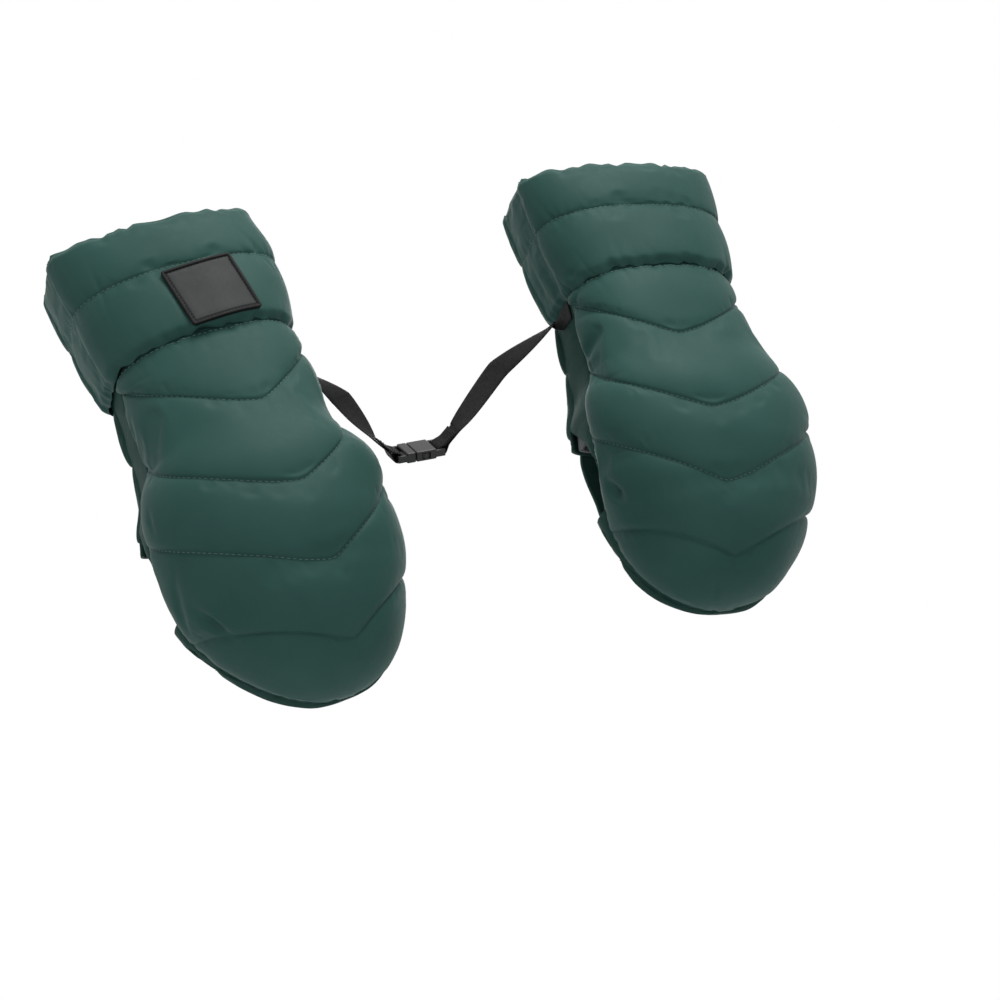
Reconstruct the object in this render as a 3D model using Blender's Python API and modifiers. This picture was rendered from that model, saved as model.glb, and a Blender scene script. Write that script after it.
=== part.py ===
"""Stroller hand muff: two quilted mitts that close round a pram's handlebar, joined by a strap.

Metres. The mitts' cuffs point to +Z, their quilted fronts to -Y, and the bar runs along X.
The origin lies on the bar's centre line, midway between the mitts. Each mitt is modelled in
its own upright frame, with +X towards the other mitt, and an empty places it on the bar.
"""

import math

import bmesh
import bpy
from mathutils import Vector

MM = 0.001
GAP = 0.3 * MM

# Places of the mitts on the bar, whose centre line lies behind the middle of their sides
SPACING = 300 * MM
SPLAY = math.radians(7.3)
BAR_BACK = 12 * MM

# Heights along a mitt, from the bar's centre line
TIP_Z = -110.5 * MM
FINGER_Z = -50 * MM
LOBE_Z = -10 * MM
BAR_Z = 15 * MM
HEEL_Z = 42 * MM
PALM_Z = 66 * MM
NARROW_Z = 100 * MM
WRIST_Z = 133.2 * MM
CUFF_Z = 171 * MM
TOP_Z = 228.5 * MM

# Half widths of a mitt's section, and how far its middle lies towards the other mitt
LOBE_HALF_WIDTH = 76 * MM
BAR_HALF_WIDTH = 77.5 * MM
HEEL_HALF_WIDTH = 73 * MM
PALM_HALF_WIDTH = 63.5 * MM
NARROW_HALF_WIDTH = 61 * MM
WRIST_HALF_WIDTH = 60 * MM
CUFF_HALF_WIDTH = 66.5 * MM
TOP_HALF_WIDTH = 72.5 * MM
TIP_SHIFT = -2 * MM
LOBE_SHIFT = -7.5 * MM
PALM_SHIFT = -2 * MM
TOP_SHIFT = 3.7 * MM

# Crown of the front beyond its seam, and of the back
FINGER_CROWN = 75 * MM
LOBE_CROWN = 63 * MM
SLOT_CROWN = 53 * MM
PALM_CROWN = 44 * MM
WRIST_CROWN = 42 * MM
TOP_CROWN = 29 * MM
BACK_CROWN = 16 * MM

# Depths of the front seam and the back seam
TIP_FRONT = 1.5 * MM
FINGER_FRONT = 5 * MM
RIM_FRONT = -2 * MM
MIDDLE_FRONT = -13 * MM
SLOT_FRONT = -20 * MM
WRIST_FRONT = -16 * MM
TOP_FRONT = -18 * MM
TIP_BACK = 5 * MM
FINGER_BACK = 13 * MM
RIM_BACK = 16.5 * MM
SLOT_BACK = 22 * MM
WRIST_BACK = 16 * MM
TOP_BACK = 18 * MM
WIDTH_POWER = 2.4
CROWN_POWER = 2.2
LOBE_POWER = 2.0
TIP_STOP_SHARE = 0.995

# Bar slot in the sides and the back, and the side gusset's edge round the bar
SLOT_HALF_HEIGHT = 30 * MM
CUTTER_OVERRUN = 30 * MM
EDGE_FULL_Z = 46 * MM
EDGE_HIGH_Z = 27 * MM
EDGE_HIGH = 2 * MM
EDGE_OVER_Z = 13 * MM
EDGE_OVER = -8 * MM
EDGE_MIDDLE = -9.5 * MM
EDGE_LOW_Z = -16 * MM
EDGE_LOW = -5.5 * MM
EDGE_END = 1 * MM
SLOT_CUT_FRONT = -12 * MM

# Quilting of the front: the height of each stitch line at its apex, and its rise at the sides
LINE_6_Z = -89.2 * MM
LINE_6_RISE = 44.3 * MM
LINE_5_Z = -45.1 * MM
LINE_5_RISE = 62.6 * MM
LINE_4_Z = 6.3 * MM
LINE_4_RISE = 62.7 * MM
LINE_3_Z = 71.7 * MM
LINE_3_RISE = 55.3 * MM
CUFF_LINE_Z = 186.8 * MM
APEX_SHARE = 0.06
APEX_SOFT_SHARE = 0.07
PUFF = 5 * MM
PUFF_POWER = 0.7
PUFF_SIDE_POWER = 6
FRONT_COLUMNS = 14
BACK_COLUMNS = 10
ROWS_A_CHANNEL = 4
TIP_ROWS = 6
TIP_ROWS_POWER = 1.8

# Quilting of the back
BACK_PUFF = 4 * MM
BACK_LINE_Z = 92 * MM
LOBE_BAND = 32 * MM

# Layers of cloth
PANEL = 4 * MM
CUFF_WALL = 3.5 * MM
CUFF_EDGE = 1.5 * MM
CUFF_GAP = 0.6 * MM
CUFF_PUFF = 4 * MM
BODY_TUCK = 8 * MM
HEM_FLARE = 2.5 * MM
LINING = 3 * MM
LINING_DROP = 1.5 * MM
LINING_STEP = 8 * MM
ELASTIC = 1.2 * MM
ELASTIC_WIDTH = 12 * MM
ELASTIC_DROP = 4 * MM
TIP_SLACK = 3 * MM

# Flap that closes the back of the bar slot
FLAP = 2.5 * MM
FLAP_SEAT = 10 * MM
FLAP_LAP = 32 * MM
FLAP_STEP = 16 * MM
FLAP_COLUMNS = 6

# Press studs
SNAP_CAP_RADIUS = 6 * MM
SNAP_CAP = 1.3 * MM
SNAP_NECK_RADIUS = 3.2 * MM
SNAP_HOLE_GAP = 0.4 * MM
SNAP_RING_RADIUS = 4.6 * MM
SNAP_RING = 0.8 * MM
SNAP_BORE_RADIUS = 2.4 * MM
STUD_FLANGE_RADIUS = 5 * MM
STUD_FLANGE = 1.0 * MM
STUD_RADIUS = 1.8 * MM
STUD_REACH = 1.5 * MM
SNAP_ANGLE = math.radians(36)
SNAP_LAP = 17 * MM
SNAP_STEPS = 12
SNAP_EDGE = 0.4 * MM
SNAP_SLACK = 1 * MM

# Badge on the left cuff
BADGE_WIDTH = 52 * MM
BADGE_HEIGHT = 48 * MM
BADGE = 2 * MM
BADGE_Z = 160 * MM
BADGE_X = 10.5 * MM
BADGE_COLUMNS = 8
BADGE_ROWS = 4

# Strap of webbing
WEBBING = 1.2 * MM
WEBBING_WIDTH = 15 * MM
STRAP_Z = 124.5 * MM
STRAP_SEAM_GAP = 1 * MM
STRAP_SEAT_GAP = 0.6 * MM
STRAP_LIFT = 1 * MM
STRAP_LIFT_Y = -1 * MM
STRAP_TWIST_OUT = 7 * MM
STRAP_TWIST_Y = 6 * MM
STRAP_TWIST_RISE = 1 * MM
LEFT_STRAP_BOW = 5 * MM
RIGHT_STRAP_BOW = 6.5 * MM
LEFT_STRAP_SLOPE = math.radians(57)
RIGHT_STRAP_SLOPE = math.radians(36)
STRAP_LOOP_LEAN = math.radians(45)
STRAP_LOOP_LENGTH = 18 * MM
STRAP_LOOP_TAPER = 8 * MM
STRAP_TAIL = 15.5 * MM
STRAP_TAIL_GAP = 0.5 * MM
STRAP_HANDLE_SHARE = 0.35
STRAP_HANGS = {-1: (LEFT_STRAP_SLOPE, LEFT_STRAP_BOW), 1: (RIGHT_STRAP_SLOPE, RIGHT_STRAP_BOW)}
LOOP_STEPS = 9

# Side-release buckle, from the plane of the socket's mouth
BUCKLE_X = -41.8 * MM
BUCKLE_Z = 48.7 * MM
BUCKLE_LEAN = math.radians(50)
BUCKLE_WIDTH = 20 * MM
BUCKLE_DEPTH = 7.2 * MM
RAIL = 2 * MM
RAIL_DEPTH = 4.6 * MM
BUCKLE_BAR = 2.3 * MM
BUCKLE_BAR_DEPTH = 3 * MM
BAR_SLOT = 4 * MM
SOCKET_BODY = 14.6 * MM
SOCKET_WALL = 1.4 * MM
SOCKET_CAVITY = 12.4 * MM
WINDOW_START = 4 * MM
WINDOW_END = 10.2 * MM
PLUG_BODY = 6.4 * MM
MOUTH_GAP = 0.4 * MM
TONGUE_LENGTH = 9.4 * MM
TONGUE_WIDTH = 3.4 * MM
TONGUE_DEPTH = 3.2 * MM
PRONG_DEPTH = 3.6 * MM
PRONG_ARM = 1.7 * MM
PRONG_KNUCKLE = 1.3 * MM
PRONG_Y = 6 * MM
PRONG_END = 11.3 * MM
PAD_GAP = 0.6 * MM
PAD_SHOULDER = 1 * MM
PAD_PROUD = 0.3 * MM
PAD_FLAT = 2 * MM
PLASTIC_ROUND = 0.8 * MM

TWIST_HEADING_SHARES = (0.80, 0.15, -0.58)
TWIST_WIDTH_SHARES = (-0.25, 0.88, 0.40)

CLOTH_GREEN = (70, 96, 91)
CLOTH_DARK = (56, 75, 68)
FLEECE_GREY = (104, 108, 107)
ELASTIC_WHITE = (200, 200, 196)
WEBBING_BLACK = (38, 38, 38)
PLASTIC_BLACK = (46, 46, 47)
RUBBER_GREY = (84, 85, 84)
STUD_GREY = (150, 150, 150)


def through(stations, height):
    """The size at a height, on a smooth curve through (height, size) stations."""
    if height <= stations[0][0]:
        return stations[0][1]
    if height >= stations[-1][0]:
        return stations[-1][1]
    last = len(stations) - 1
    low = max(i for i in range(last) if stations[i][0] <= height)

    def slope(i):
        before, after = stations[max(i - 1, 0)], stations[min(i + 1, last)]
        return (after[1] - before[1]) / (after[0] - before[0])

    span = stations[low + 1][0] - stations[low][0]
    t = (height - stations[low][0]) / span
    rise = stations[low + 1][1] - stations[low][1]
    bend = span * (slope(low) * (1 - t) - slope(low + 1) * t)
    ease = t * t * (3 - 2 * t)
    return stations[low][1] + rise * ease + bend * t * (1 - t)


def eased(low, high, value):
    """0 below low, 1 above high, and smooth between them."""
    t = min(max((value - low) / (high - low), 0), 1)
    return t * t * (3 - 2 * t)


def spaced(low, high, steps):
    return [low + (high - low) * i / steps for i in range(steps + 1)]


HALF_WIDTHS = (
    (LOBE_Z, LOBE_HALF_WIDTH),
    (BAR_Z, BAR_HALF_WIDTH),
    (HEEL_Z, HEEL_HALF_WIDTH),
    (PALM_Z, PALM_HALF_WIDTH),
    (NARROW_Z, NARROW_HALF_WIDTH),
    (WRIST_Z, WRIST_HALF_WIDTH),
    (CUFF_Z, CUFF_HALF_WIDTH),
    (TOP_Z, TOP_HALF_WIDTH),
)
SHIFTS = (
    (TIP_Z, TIP_SHIFT),
    (LOBE_Z, LOBE_SHIFT),
    (PALM_Z, PALM_SHIFT),
    (TOP_Z, TOP_SHIFT),
)
CROWNS = (
    (FINGER_Z, FINGER_CROWN),
    (LOBE_Z, LOBE_CROWN),
    (SLOT_HALF_HEIGHT, SLOT_CROWN),
    (PALM_Z, PALM_CROWN),
    (WRIST_Z, WRIST_CROWN),
    (TOP_Z, TOP_CROWN),
)
FRONT_SEAM = (
    (TIP_Z, TIP_FRONT),
    (FINGER_Z, FINGER_FRONT),
    (-SLOT_HALF_HEIGHT, RIM_FRONT),
    (0, MIDDLE_FRONT),
    (SLOT_HALF_HEIGHT, SLOT_FRONT),
    (PALM_Z, SLOT_FRONT),
    (WRIST_Z, WRIST_FRONT),
    (TOP_Z, TOP_FRONT),
)
BACK_SEAM = (
    (TIP_Z, TIP_BACK),
    (FINGER_Z, FINGER_BACK),
    (-SLOT_HALF_HEIGHT, RIM_BACK),
    (SLOT_HALF_HEIGHT, SLOT_BACK),
    (WRIST_Z, WRIST_BACK),
    (TOP_Z, TOP_BACK),
)
GUSSET_EDGE = (
    (-SLOT_HALF_HEIGHT, EDGE_END),
    (EDGE_LOW_Z, EDGE_LOW),
    (0, EDGE_MIDDLE),
    (EDGE_OVER_Z, EDGE_OVER),
    (EDGE_HIGH_Z, EDGE_HIGH),
    (EDGE_FULL_Z, SLOT_BACK),
)
LOBE_LENGTH = LOBE_Z - TIP_Z
BODY_TOP_Z = WRIST_Z + BODY_TUCK
HINGE_Z = SLOT_HALF_HEIGHT + FLAP_SEAT
QUARTER_TURN = math.pi / 2
FRONT_ANGLES = spaced(-QUARTER_TURN, QUARTER_TURN, FRONT_COLUMNS)
BACK_ANGLES = spaced(QUARTER_TURN, -QUARTER_TURN, BACK_COLUMNS)
FRONT = -1
BACK = 1


def skin(z, angle, out, face):
    """A point of a mitt's surface. The angle runs from -90 degrees at the outer seam to 90 at
    the inner one, out is how far the point lies outside the base surface, and face tells
    the quilted front from the back. The lobe below LOBE_Z closes to a rounded tip."""
    height = z
    width_share = crown_share = 1
    if z < LOBE_Z:
        share = min((LOBE_Z - z) / LOBE_LENGTH, TIP_STOP_SHARE)
        width_share = (1 - share**LOBE_POWER) ** (1 / LOBE_POWER)
        crown_share = max(1 - (share / TIP_STOP_SHARE) ** LOBE_POWER, 0) ** (1 / LOBE_POWER)
        height = LOBE_Z - share * (LOBE_LENGTH + out)
    z = max(z, LOBE_Z - TIP_STOP_SHARE * LOBE_LENGTH)
    crown = through(CROWNS, z) if face == FRONT else BACK_CROWN
    seam = through(FRONT_SEAM if face == FRONT else BACK_SEAM, z)
    across = abs(math.sin(angle)) ** (2 / WIDTH_POWER)
    forward = max(math.cos(angle), 0) ** (2 / CROWN_POWER)
    if abs(across) > 1 - 1e-9:
        forward = 0
    x = (through(HALF_WIDTHS, z) + out) * width_share * math.copysign(across, angle)
    y = seam + face * (crown + out) * crown_share * forward
    return Vector((x + through(SHIFTS, z), y, height))


def off_back(z, angle, lift):
    """A point a true distance off the back, and the outward direction there."""
    step = 1 * MM
    foot = skin(z, angle, 0, BACK)
    along = skin(z + step, angle, 0, BACK) - skin(z - step, angle, 0, BACK)
    turn = step / LOBE_HALF_WIDTH
    across = skin(z, angle + turn, 0, BACK) - skin(z, angle - turn, 0, BACK)
    normal = along.cross(across).normalized()
    normal = normal if normal.y > 0 else -normal
    return foot + normal * lift, normal


def side_skin(z, depth, out, side):
    """A point of the straight side strip, at a depth behind the mitt's middle plane."""
    point = skin(z, side * math.pi / 2, out, FRONT)
    return Vector((point.x, depth, point.z))


def chevron(share):
    """How far a V-shaped stitch line has risen at a share of the quarter turn from the middle
    to a side seam: 0 at its apex and 1 at the seams."""
    away = share - APEX_SHARE
    reach = 1 - APEX_SHARE if away > 0 else 1 + APEX_SHARE
    away = abs(away) / reach
    soft = math.hypot(away, APEX_SOFT_SHARE) - APEX_SOFT_SHARE
    return soft / (math.hypot(1, APEX_SOFT_SHARE) - APEX_SOFT_SHARE)


FRONT_LINES = (
    (LOBE_Z - TIP_STOP_SHARE * LOBE_LENGTH, 0),
    (LINE_6_Z, LINE_6_RISE),
    (LINE_5_Z, LINE_5_RISE),
    (LINE_4_Z, LINE_4_RISE),
    (LINE_3_Z, LINE_3_RISE),
    (WRIST_Z, 0),
)


def front_rows():
    """Rows of the front panel as (channel, share of its height), closer towards the tip."""
    rows = [(0, share**TIP_ROWS_POWER) for share in spaced(0, 1, TIP_ROWS)]
    for channel in range(1, len(FRONT_LINES) - 1):
        rows += [(channel, share) for share in spaced(0, 1, ROWS_A_CHANNEL)[1:]]
    return rows


def row_height(channel, t, rise):
    """The height of a front row where its stitch lines have risen by a share."""
    low, high = FRONT_LINES[channel], FRONT_LINES[channel + 1]
    start = low[0] + low[1] * rise
    return start + (high[0] + high[1] * rise - start) * t


RIM_HEIGHTS = [row_height(channel, t, 1) for channel, t in front_rows()]


def seam_depth(z):
    """The depth of the front seam at a height, straight between the front panel's rows."""
    if z >= RIM_HEIGHTS[-1]:
        return through(FRONT_SEAM, z)
    i = max(i for i in range(len(RIM_HEIGHTS) - 1) if RIM_HEIGHTS[i] <= max(z, RIM_HEIGHTS[0]))
    low, high = RIM_HEIGHTS[i], RIM_HEIGHTS[i + 1]
    start, end = through(FRONT_SEAM, low), through(FRONT_SEAM, high)
    return start + (end - start) * (max(z, low) - low) / (high - low)


def across_share(angle):
    return math.copysign(abs(math.sin(angle)) ** (2 / WIDTH_POWER), angle)


def puffed(t, height, angle):
    """The padding's swell at share t of a channel, drawn in at the stitch lines and the seams."""
    side = 1 - abs(across_share(angle)) ** PUFF_SIDE_POWER
    return height * math.sin(math.pi * t) ** PUFF_POWER * max(side, 0)


def finish(name, colour, roughness, metallic=0.0):
    """A material whose colour is given as sRGB bytes."""
    material = bpy.data.materials.get(name)
    if material:
        return material
    material = bpy.data.materials.new(name)
    material.use_nodes = True
    shader = material.node_tree.nodes["Principled BSDF"]
    linear = [((c / 255 + 0.055) / 1.055) ** 2.4 for c in colour]
    shader.inputs["Base Color"].default_value = (*linear, 1)
    shader.inputs["Roughness"].default_value = roughness
    shader.inputs["Metallic"].default_value = metallic
    return material


def add_object(name, mesh, material, parent=None, collection="stroller_hand_muff"):
    obj = bpy.data.objects.new(name, mesh)
    bpy.data.collections[collection].objects.link(obj)
    if material and not mesh.materials:
        mesh.materials.append(material)
    obj.parent = parent
    return obj


def add_empty(name, location, rotation=(0, 0, 0), parent=None):
    empty = bpy.data.objects.new(name, None)
    bpy.data.collections["stroller_hand_muff"].objects.link(empty)
    empty.empty_display_size = 20 * MM
    empty.location = location
    empty.rotation_euler = rotation
    empty.parent = parent
    return empty


def mesh_from(bm, name):
    bm.normal_update()
    bmesh.ops.recalc_face_normals(bm, faces=bm.faces)
    mesh = bpy.data.meshes.new(name)
    bm.to_mesh(mesh)
    bm.free()
    mesh.shade_smooth()
    mesh.set_sharp_from_angle(angle=math.radians(50))
    return mesh


def layer(name, outer, inner, ring=False, closed_tip=False):
    """One closed body between an outer and an inner grid of points, like a cut of padded cloth.
    A ring joins its last column to its first, and a closed tip has a floor on its first row."""
    bm = bmesh.new()
    grids = [[[bm.verts.new(p) for p in row] for row in grid] for grid in (outer, inner)]
    columns = len(outer[0])
    steps = columns if ring else columns - 1
    for grid in grids:
        for low, high in zip(grid, grid[1:]):
            for i in range(steps):
                j = (i + 1) % columns
                bm.faces.new((low[i], low[j], high[j], high[i]))
    out, into = grids
    for row in (0, -1):
        if row == 0 and closed_tip:
            bm.faces.new(out[row])
            bm.faces.new(into[row])
            continue
        for i in range(steps):
            j = (i + 1) % columns
            bm.faces.new((out[row][i], out[row][j], into[row][j], into[row][i]))
    if not ring:
        for column in (0, -1):
            for row in range(len(outer) - 1):
                edge = (out[row][column], out[row + 1][column])
                bm.faces.new((*edge, into[row + 1][column], into[row][column]))
    return mesh_from(bm, name)


def baked(obj):
    """The object's mesh with its modifiers applied, left on the object itself."""
    bpy.context.view_layer.update()
    graph = bpy.context.evaluated_depsgraph_get()
    mesh = bpy.data.meshes.new_from_object(obj.evaluated_get(graph))
    obj.modifiers.clear()
    obj.data = mesh
    mesh.shade_smooth()
    mesh.set_sharp_from_angle(angle=math.radians(50))
    return mesh


def box_mesh(name, low, high):
    bm = bmesh.new()
    bmesh.ops.create_cube(bm, size=1)
    for vertex in bm.verts:
        for axis in range(3):
            vertex.co[axis] = low[axis] if vertex.co[axis] < 0 else high[axis]
    return mesh_from(bm, name)


def cutter(name, mesh, parent):
    obj = add_object(name, mesh, None, parent, "cutters")
    obj.hide_render = True
    obj.display_type = "WIRE"
    return obj


def join_by(obj, other, operation):
    modifier = obj.modifiers.new(other.name, "BOOLEAN")
    modifier.operation = operation
    modifier.object = other


def front_panel_mesh():
    outer, inner = [], []
    for channel, t in front_rows():
        heights = [row_height(channel, t, chevron(a / QUARTER_TURN)) for a in FRONT_ANGLES]
        cells = list(zip(heights, FRONT_ANGLES))
        outer.append([skin(z, angle, puffed(t, PUFF, angle), FRONT) for z, angle in cells])
        inner.append([skin(z, angle, -PANEL, FRONT) for z, angle in cells])
    outer.append([skin(BODY_TOP_Z, angle, 0, FRONT) for angle in FRONT_ANGLES])
    inner.append([skin(BODY_TOP_Z, angle, -PANEL, FRONT) for angle in FRONT_ANGLES])
    return layer("front_panel", outer, inner)


def back_mesh(name, heights, channels):
    """A back panel with rows at the heights, and padding between (low, high) lines."""
    outer, inner = [], []
    for z in heights:
        swell = 0
        for low, high in channels:
            if low < z < high:
                swell = math.sin(math.pi * (z - low) / (high - low)) ** PUFF_POWER * BACK_PUFF
        sides = [1 - abs(across_share(a)) ** PUFF_SIDE_POWER for a in BACK_ANGLES]
        outer.append([skin(z, a, swell * s, BACK) for a, s in zip(BACK_ANGLES, sides)])
        inner.append([skin(z, a, -PANEL, BACK) for a in BACK_ANGLES])
    return layer(name, outer, inner)


def side_strip(name, path, edge=None):
    """A strip behind the front's seam along a path of (side, height) points. It reaches to the
    back's seam, or to an edge given as (height, depth) stations where that lies further in."""
    outer, inner = [], []
    for side, z in path:
        low = seam_depth(z) + GAP
        high = through(BACK_SEAM, z) - GAP
        if edge:
            high = min(high, through(edge, z))
        depths = spaced(low, high, 2)
        outer.append([side_skin(z, depth, 0, side) for depth in depths])
        inner.append([side_skin(z, depth, -PANEL, side) for depth in depths])
    return layer(name, outer, inner)


def ring_row(z, out, flare=0.0, puff=0.0):
    """One closed row round a mitt: front from outer to inner seam, then back again."""
    row = []
    for face, angles in ((FRONT, FRONT_ANGLES), (BACK, BACK_ANGLES)):
        for angle in angles:
            share = across_share(angle)
            swell = puff * (1 - abs(share) ** PUFF_SIDE_POWER)
            point = skin(z, angle, out + swell, face)
            point.x += flare * min(share, 0) ** 3
            row.append(point)
    return row


def cuff_mesh():
    outer, inner = [], []
    for low, high in ((WRIST_Z, CUFF_LINE_Z), (CUFF_LINE_Z, TOP_Z)):
        for z in spaced(low, high, ROWS_A_CHANNEL)[(1 if outer else 0) :]:
            t = (z - low) / (high - low)
            flare = HEM_FLARE * (1 - eased(WRIST_Z, CUFF_LINE_Z, z))
            swell = max(math.sin(math.pi * t), 0) ** PUFF_POWER
            wall = CUFF_GAP + CUFF_EDGE + (CUFF_WALL - CUFF_EDGE) * swell
            outer.append(ring_row(z, wall, flare, CUFF_PUFF * swell))
            inner.append(ring_row(z, CUFF_GAP, flare))
    return layer("cuff", outer, inner, ring=True)


def elastic_top():
    return WRIST_Z - ELASTIC_DROP


def lining_out(z):
    """How far the lining's outer face lies outside the base surface."""
    low = -(PANEL + ELASTIC + 2 * GAP) - TIP_SLACK * (1 - eased(TIP_Z, LOBE_Z, z))
    return low * (1 - eased(BODY_TOP_Z + GAP, BODY_TOP_Z + LINING_STEP, z))


def lining_mesh(mitt):
    """A fleece sock inside the mitt, open at the cuff, with the bar slot cut through it."""
    last = LOBE_Z - TIP_STOP_SHARE * LOBE_LENGTH
    lobe_turns = spaced(math.asin(TIP_STOP_SHARE), 0, 5)
    heights = [max(LOBE_Z - LOBE_LENGTH * math.sin(turn), last) for turn in lobe_turns]
    heights += [BAR_Z, HEEL_Z, PALM_Z, NARROW_Z]
    heights += [elastic_top() - ELASTIC_WIDTH, elastic_top(), BODY_TOP_Z]
    heights += spaced(BODY_TOP_Z, BODY_TOP_Z + LINING_STEP, 2)[1:]
    heights += spaced(BODY_TOP_Z + LINING_STEP, TOP_Z - LINING_DROP, 2)[1:]
    outer = [ring_row(z, lining_out(z)) for z in heights]
    inner = [ring_row(z, lining_out(z) - LINING) for z in heights]
    mesh = layer("lining", outer, inner, ring=True, closed_tip=True)
    sock = add_object("lining_sock", mesh, None, mitt)
    reach = LOBE_HALF_WIDTH + CUTTER_OVERRUN
    slot = box_mesh(
        "bar_slot_cutter",
        (-reach, SLOT_CUT_FRONT, -SLOT_HALF_HEIGHT),
        (reach, SLOT_BACK + BACK_CROWN + CUTTER_OVERRUN, SLOT_HALF_HEIGHT),
    )
    join_by(sock, cutter("bar_slot_cutter", slot, mitt), "DIFFERENCE")
    mesh = baked(sock)
    bpy.data.objects.remove(sock)
    return mesh


def elastic_mesh():
    heights = (elastic_top() - ELASTIC_WIDTH, elastic_top())
    outer = [ring_row(z, -(PANEL + GAP)) for z in heights]
    inner = [ring_row(z, -(PANEL + GAP + ELASTIC)) for z in heights]
    return layer("wrist_elastic", outer, inner, ring=True)


SNAP_STACK = GAP + STUD_FLANGE + GAP + SNAP_RING + SNAP_SLACK
SNAP_Z = -(SLOT_HALF_HEIGHT + SNAP_LAP)


def flap_out(z):
    """The flap's inner face rises from its seam to clear the press studs."""
    return GAP + (SNAP_STACK - GAP) * (1 - eased(HINGE_Z - FLAP_STEP, HINGE_Z, z))


def hinge_point():
    """The flap's fold: the middle of its thickness where it is sewn to the back panel."""
    return off_back(HINGE_Z, 0, GAP + FLAP / 2)[0]


def turned(name, profile):
    """A turned solid from (radius, height) points that run down its outer side, top to bottom."""
    bm = bmesh.new()
    points = [bm.verts.new((radius, 0, height)) for radius, height in profile]
    for pair in zip(points, points[1:]):
        bm.edges.new(pair)
    mesh = bpy.data.meshes.new(name)
    bm.to_mesh(mesh)
    bm.free()
    obj = add_object(name, mesh, None)
    screw = obj.modifiers.new("turn", "SCREW")
    screw.steps = SNAP_STEPS
    screw.render_steps = SNAP_STEPS
    screw.use_merge_vertices = True
    screw.merge_threshold = 0.01 * MM
    mesh = baked(obj)
    bpy.data.objects.remove(obj)
    return mesh


def snap_stud_mesh():
    top = STUD_FLANGE + STUD_REACH
    profile = [
        (0, top),
        (STUD_RADIUS - SNAP_EDGE, top),
        (STUD_RADIUS, top - SNAP_EDGE),
        (STUD_RADIUS, STUD_FLANGE),
        (STUD_FLANGE_RADIUS - SNAP_EDGE, STUD_FLANGE),
        (STUD_FLANGE_RADIUS, STUD_FLANGE - SNAP_EDGE),
        (STUD_FLANGE_RADIUS, 0),
        (0, 0),
    ]
    return turned("snap_stud", profile)


def snap_socket_mesh():
    """Cap outside the flap, neck through its hole, and ring with a blind bore inside."""
    neck_top = SNAP_RING + SNAP_SLACK + FLAP + GAP
    top = neck_top + SNAP_CAP
    bore_top = STUD_REACH + GAP
    profile = [
        (0, top),
        (SNAP_CAP_RADIUS - 2 * SNAP_EDGE, top),
        (SNAP_CAP_RADIUS, top - SNAP_EDGE),
        (SNAP_CAP_RADIUS, neck_top),
        (SNAP_NECK_RADIUS, neck_top),
        (SNAP_NECK_RADIUS, SNAP_RING),
        (SNAP_RING_RADIUS, SNAP_RING),
        (SNAP_RING_RADIUS, 0),
        (SNAP_BORE_RADIUS, 0),
        (SNAP_BORE_RADIUS, bore_top),
        (0, bore_top),
    ]
    return turned("snap_socket", profile)


def flap_mesh(mitt):
    heights = [-(SLOT_HALF_HEIGHT + FLAP_LAP)]
    heights += spaced(SNAP_Z - SNAP_CAP_RADIUS, SNAP_Z + SNAP_CAP_RADIUS, 1)
    heights += spaced(SNAP_Z + SNAP_CAP_RADIUS, HINGE_Z - FLAP_STEP, 3)[1:]
    heights += spaced(HINGE_Z - FLAP_STEP, HINGE_Z, 3)[1:]
    skip = (BACK_COLUMNS - FLAP_COLUMNS) // 2
    angles = BACK_ANGLES[skip : len(BACK_ANGLES) - skip]
    inner = [[off_back(z, angle, flap_out(z))[0] for angle in angles] for z in heights]
    outer = [[off_back(z, angle, flap_out(z) + FLAP)[0] for angle in angles] for z in heights]
    sheet = add_object("flap_sheet", layer("bar_flap", outer, inner), None, mitt)
    for x_sign in (-1, 1):
        bm = bmesh.new()
        radius = SNAP_NECK_RADIUS + SNAP_HOLE_GAP
        foot, normal = off_back(SNAP_Z, x_sign * SNAP_ANGLE, 0)
        bmesh.ops.create_cone(
            bm,
            cap_ends=True,
            segments=SNAP_STEPS,
            radius1=radius,
            radius2=radius,
            depth=CUTTER_OVERRUN,
        )
        turn = Vector((0, 0, 1)).rotation_difference(normal)
        for vertex in bm.verts:
            vertex.co = turn @ vertex.co + foot
        name = f"snap_hole_cutter_{'inner' if x_sign > 0 else 'outer'}"
        join_by(sheet, cutter(name, mesh_from(bm, name), mitt), "DIFFERENCE")
    mesh = baked(sheet)
    bpy.data.objects.remove(sheet)
    return mesh


def shifted(mesh, offset):
    for vertex in mesh.vertices:
        vertex.co -= offset
    return mesh


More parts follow.
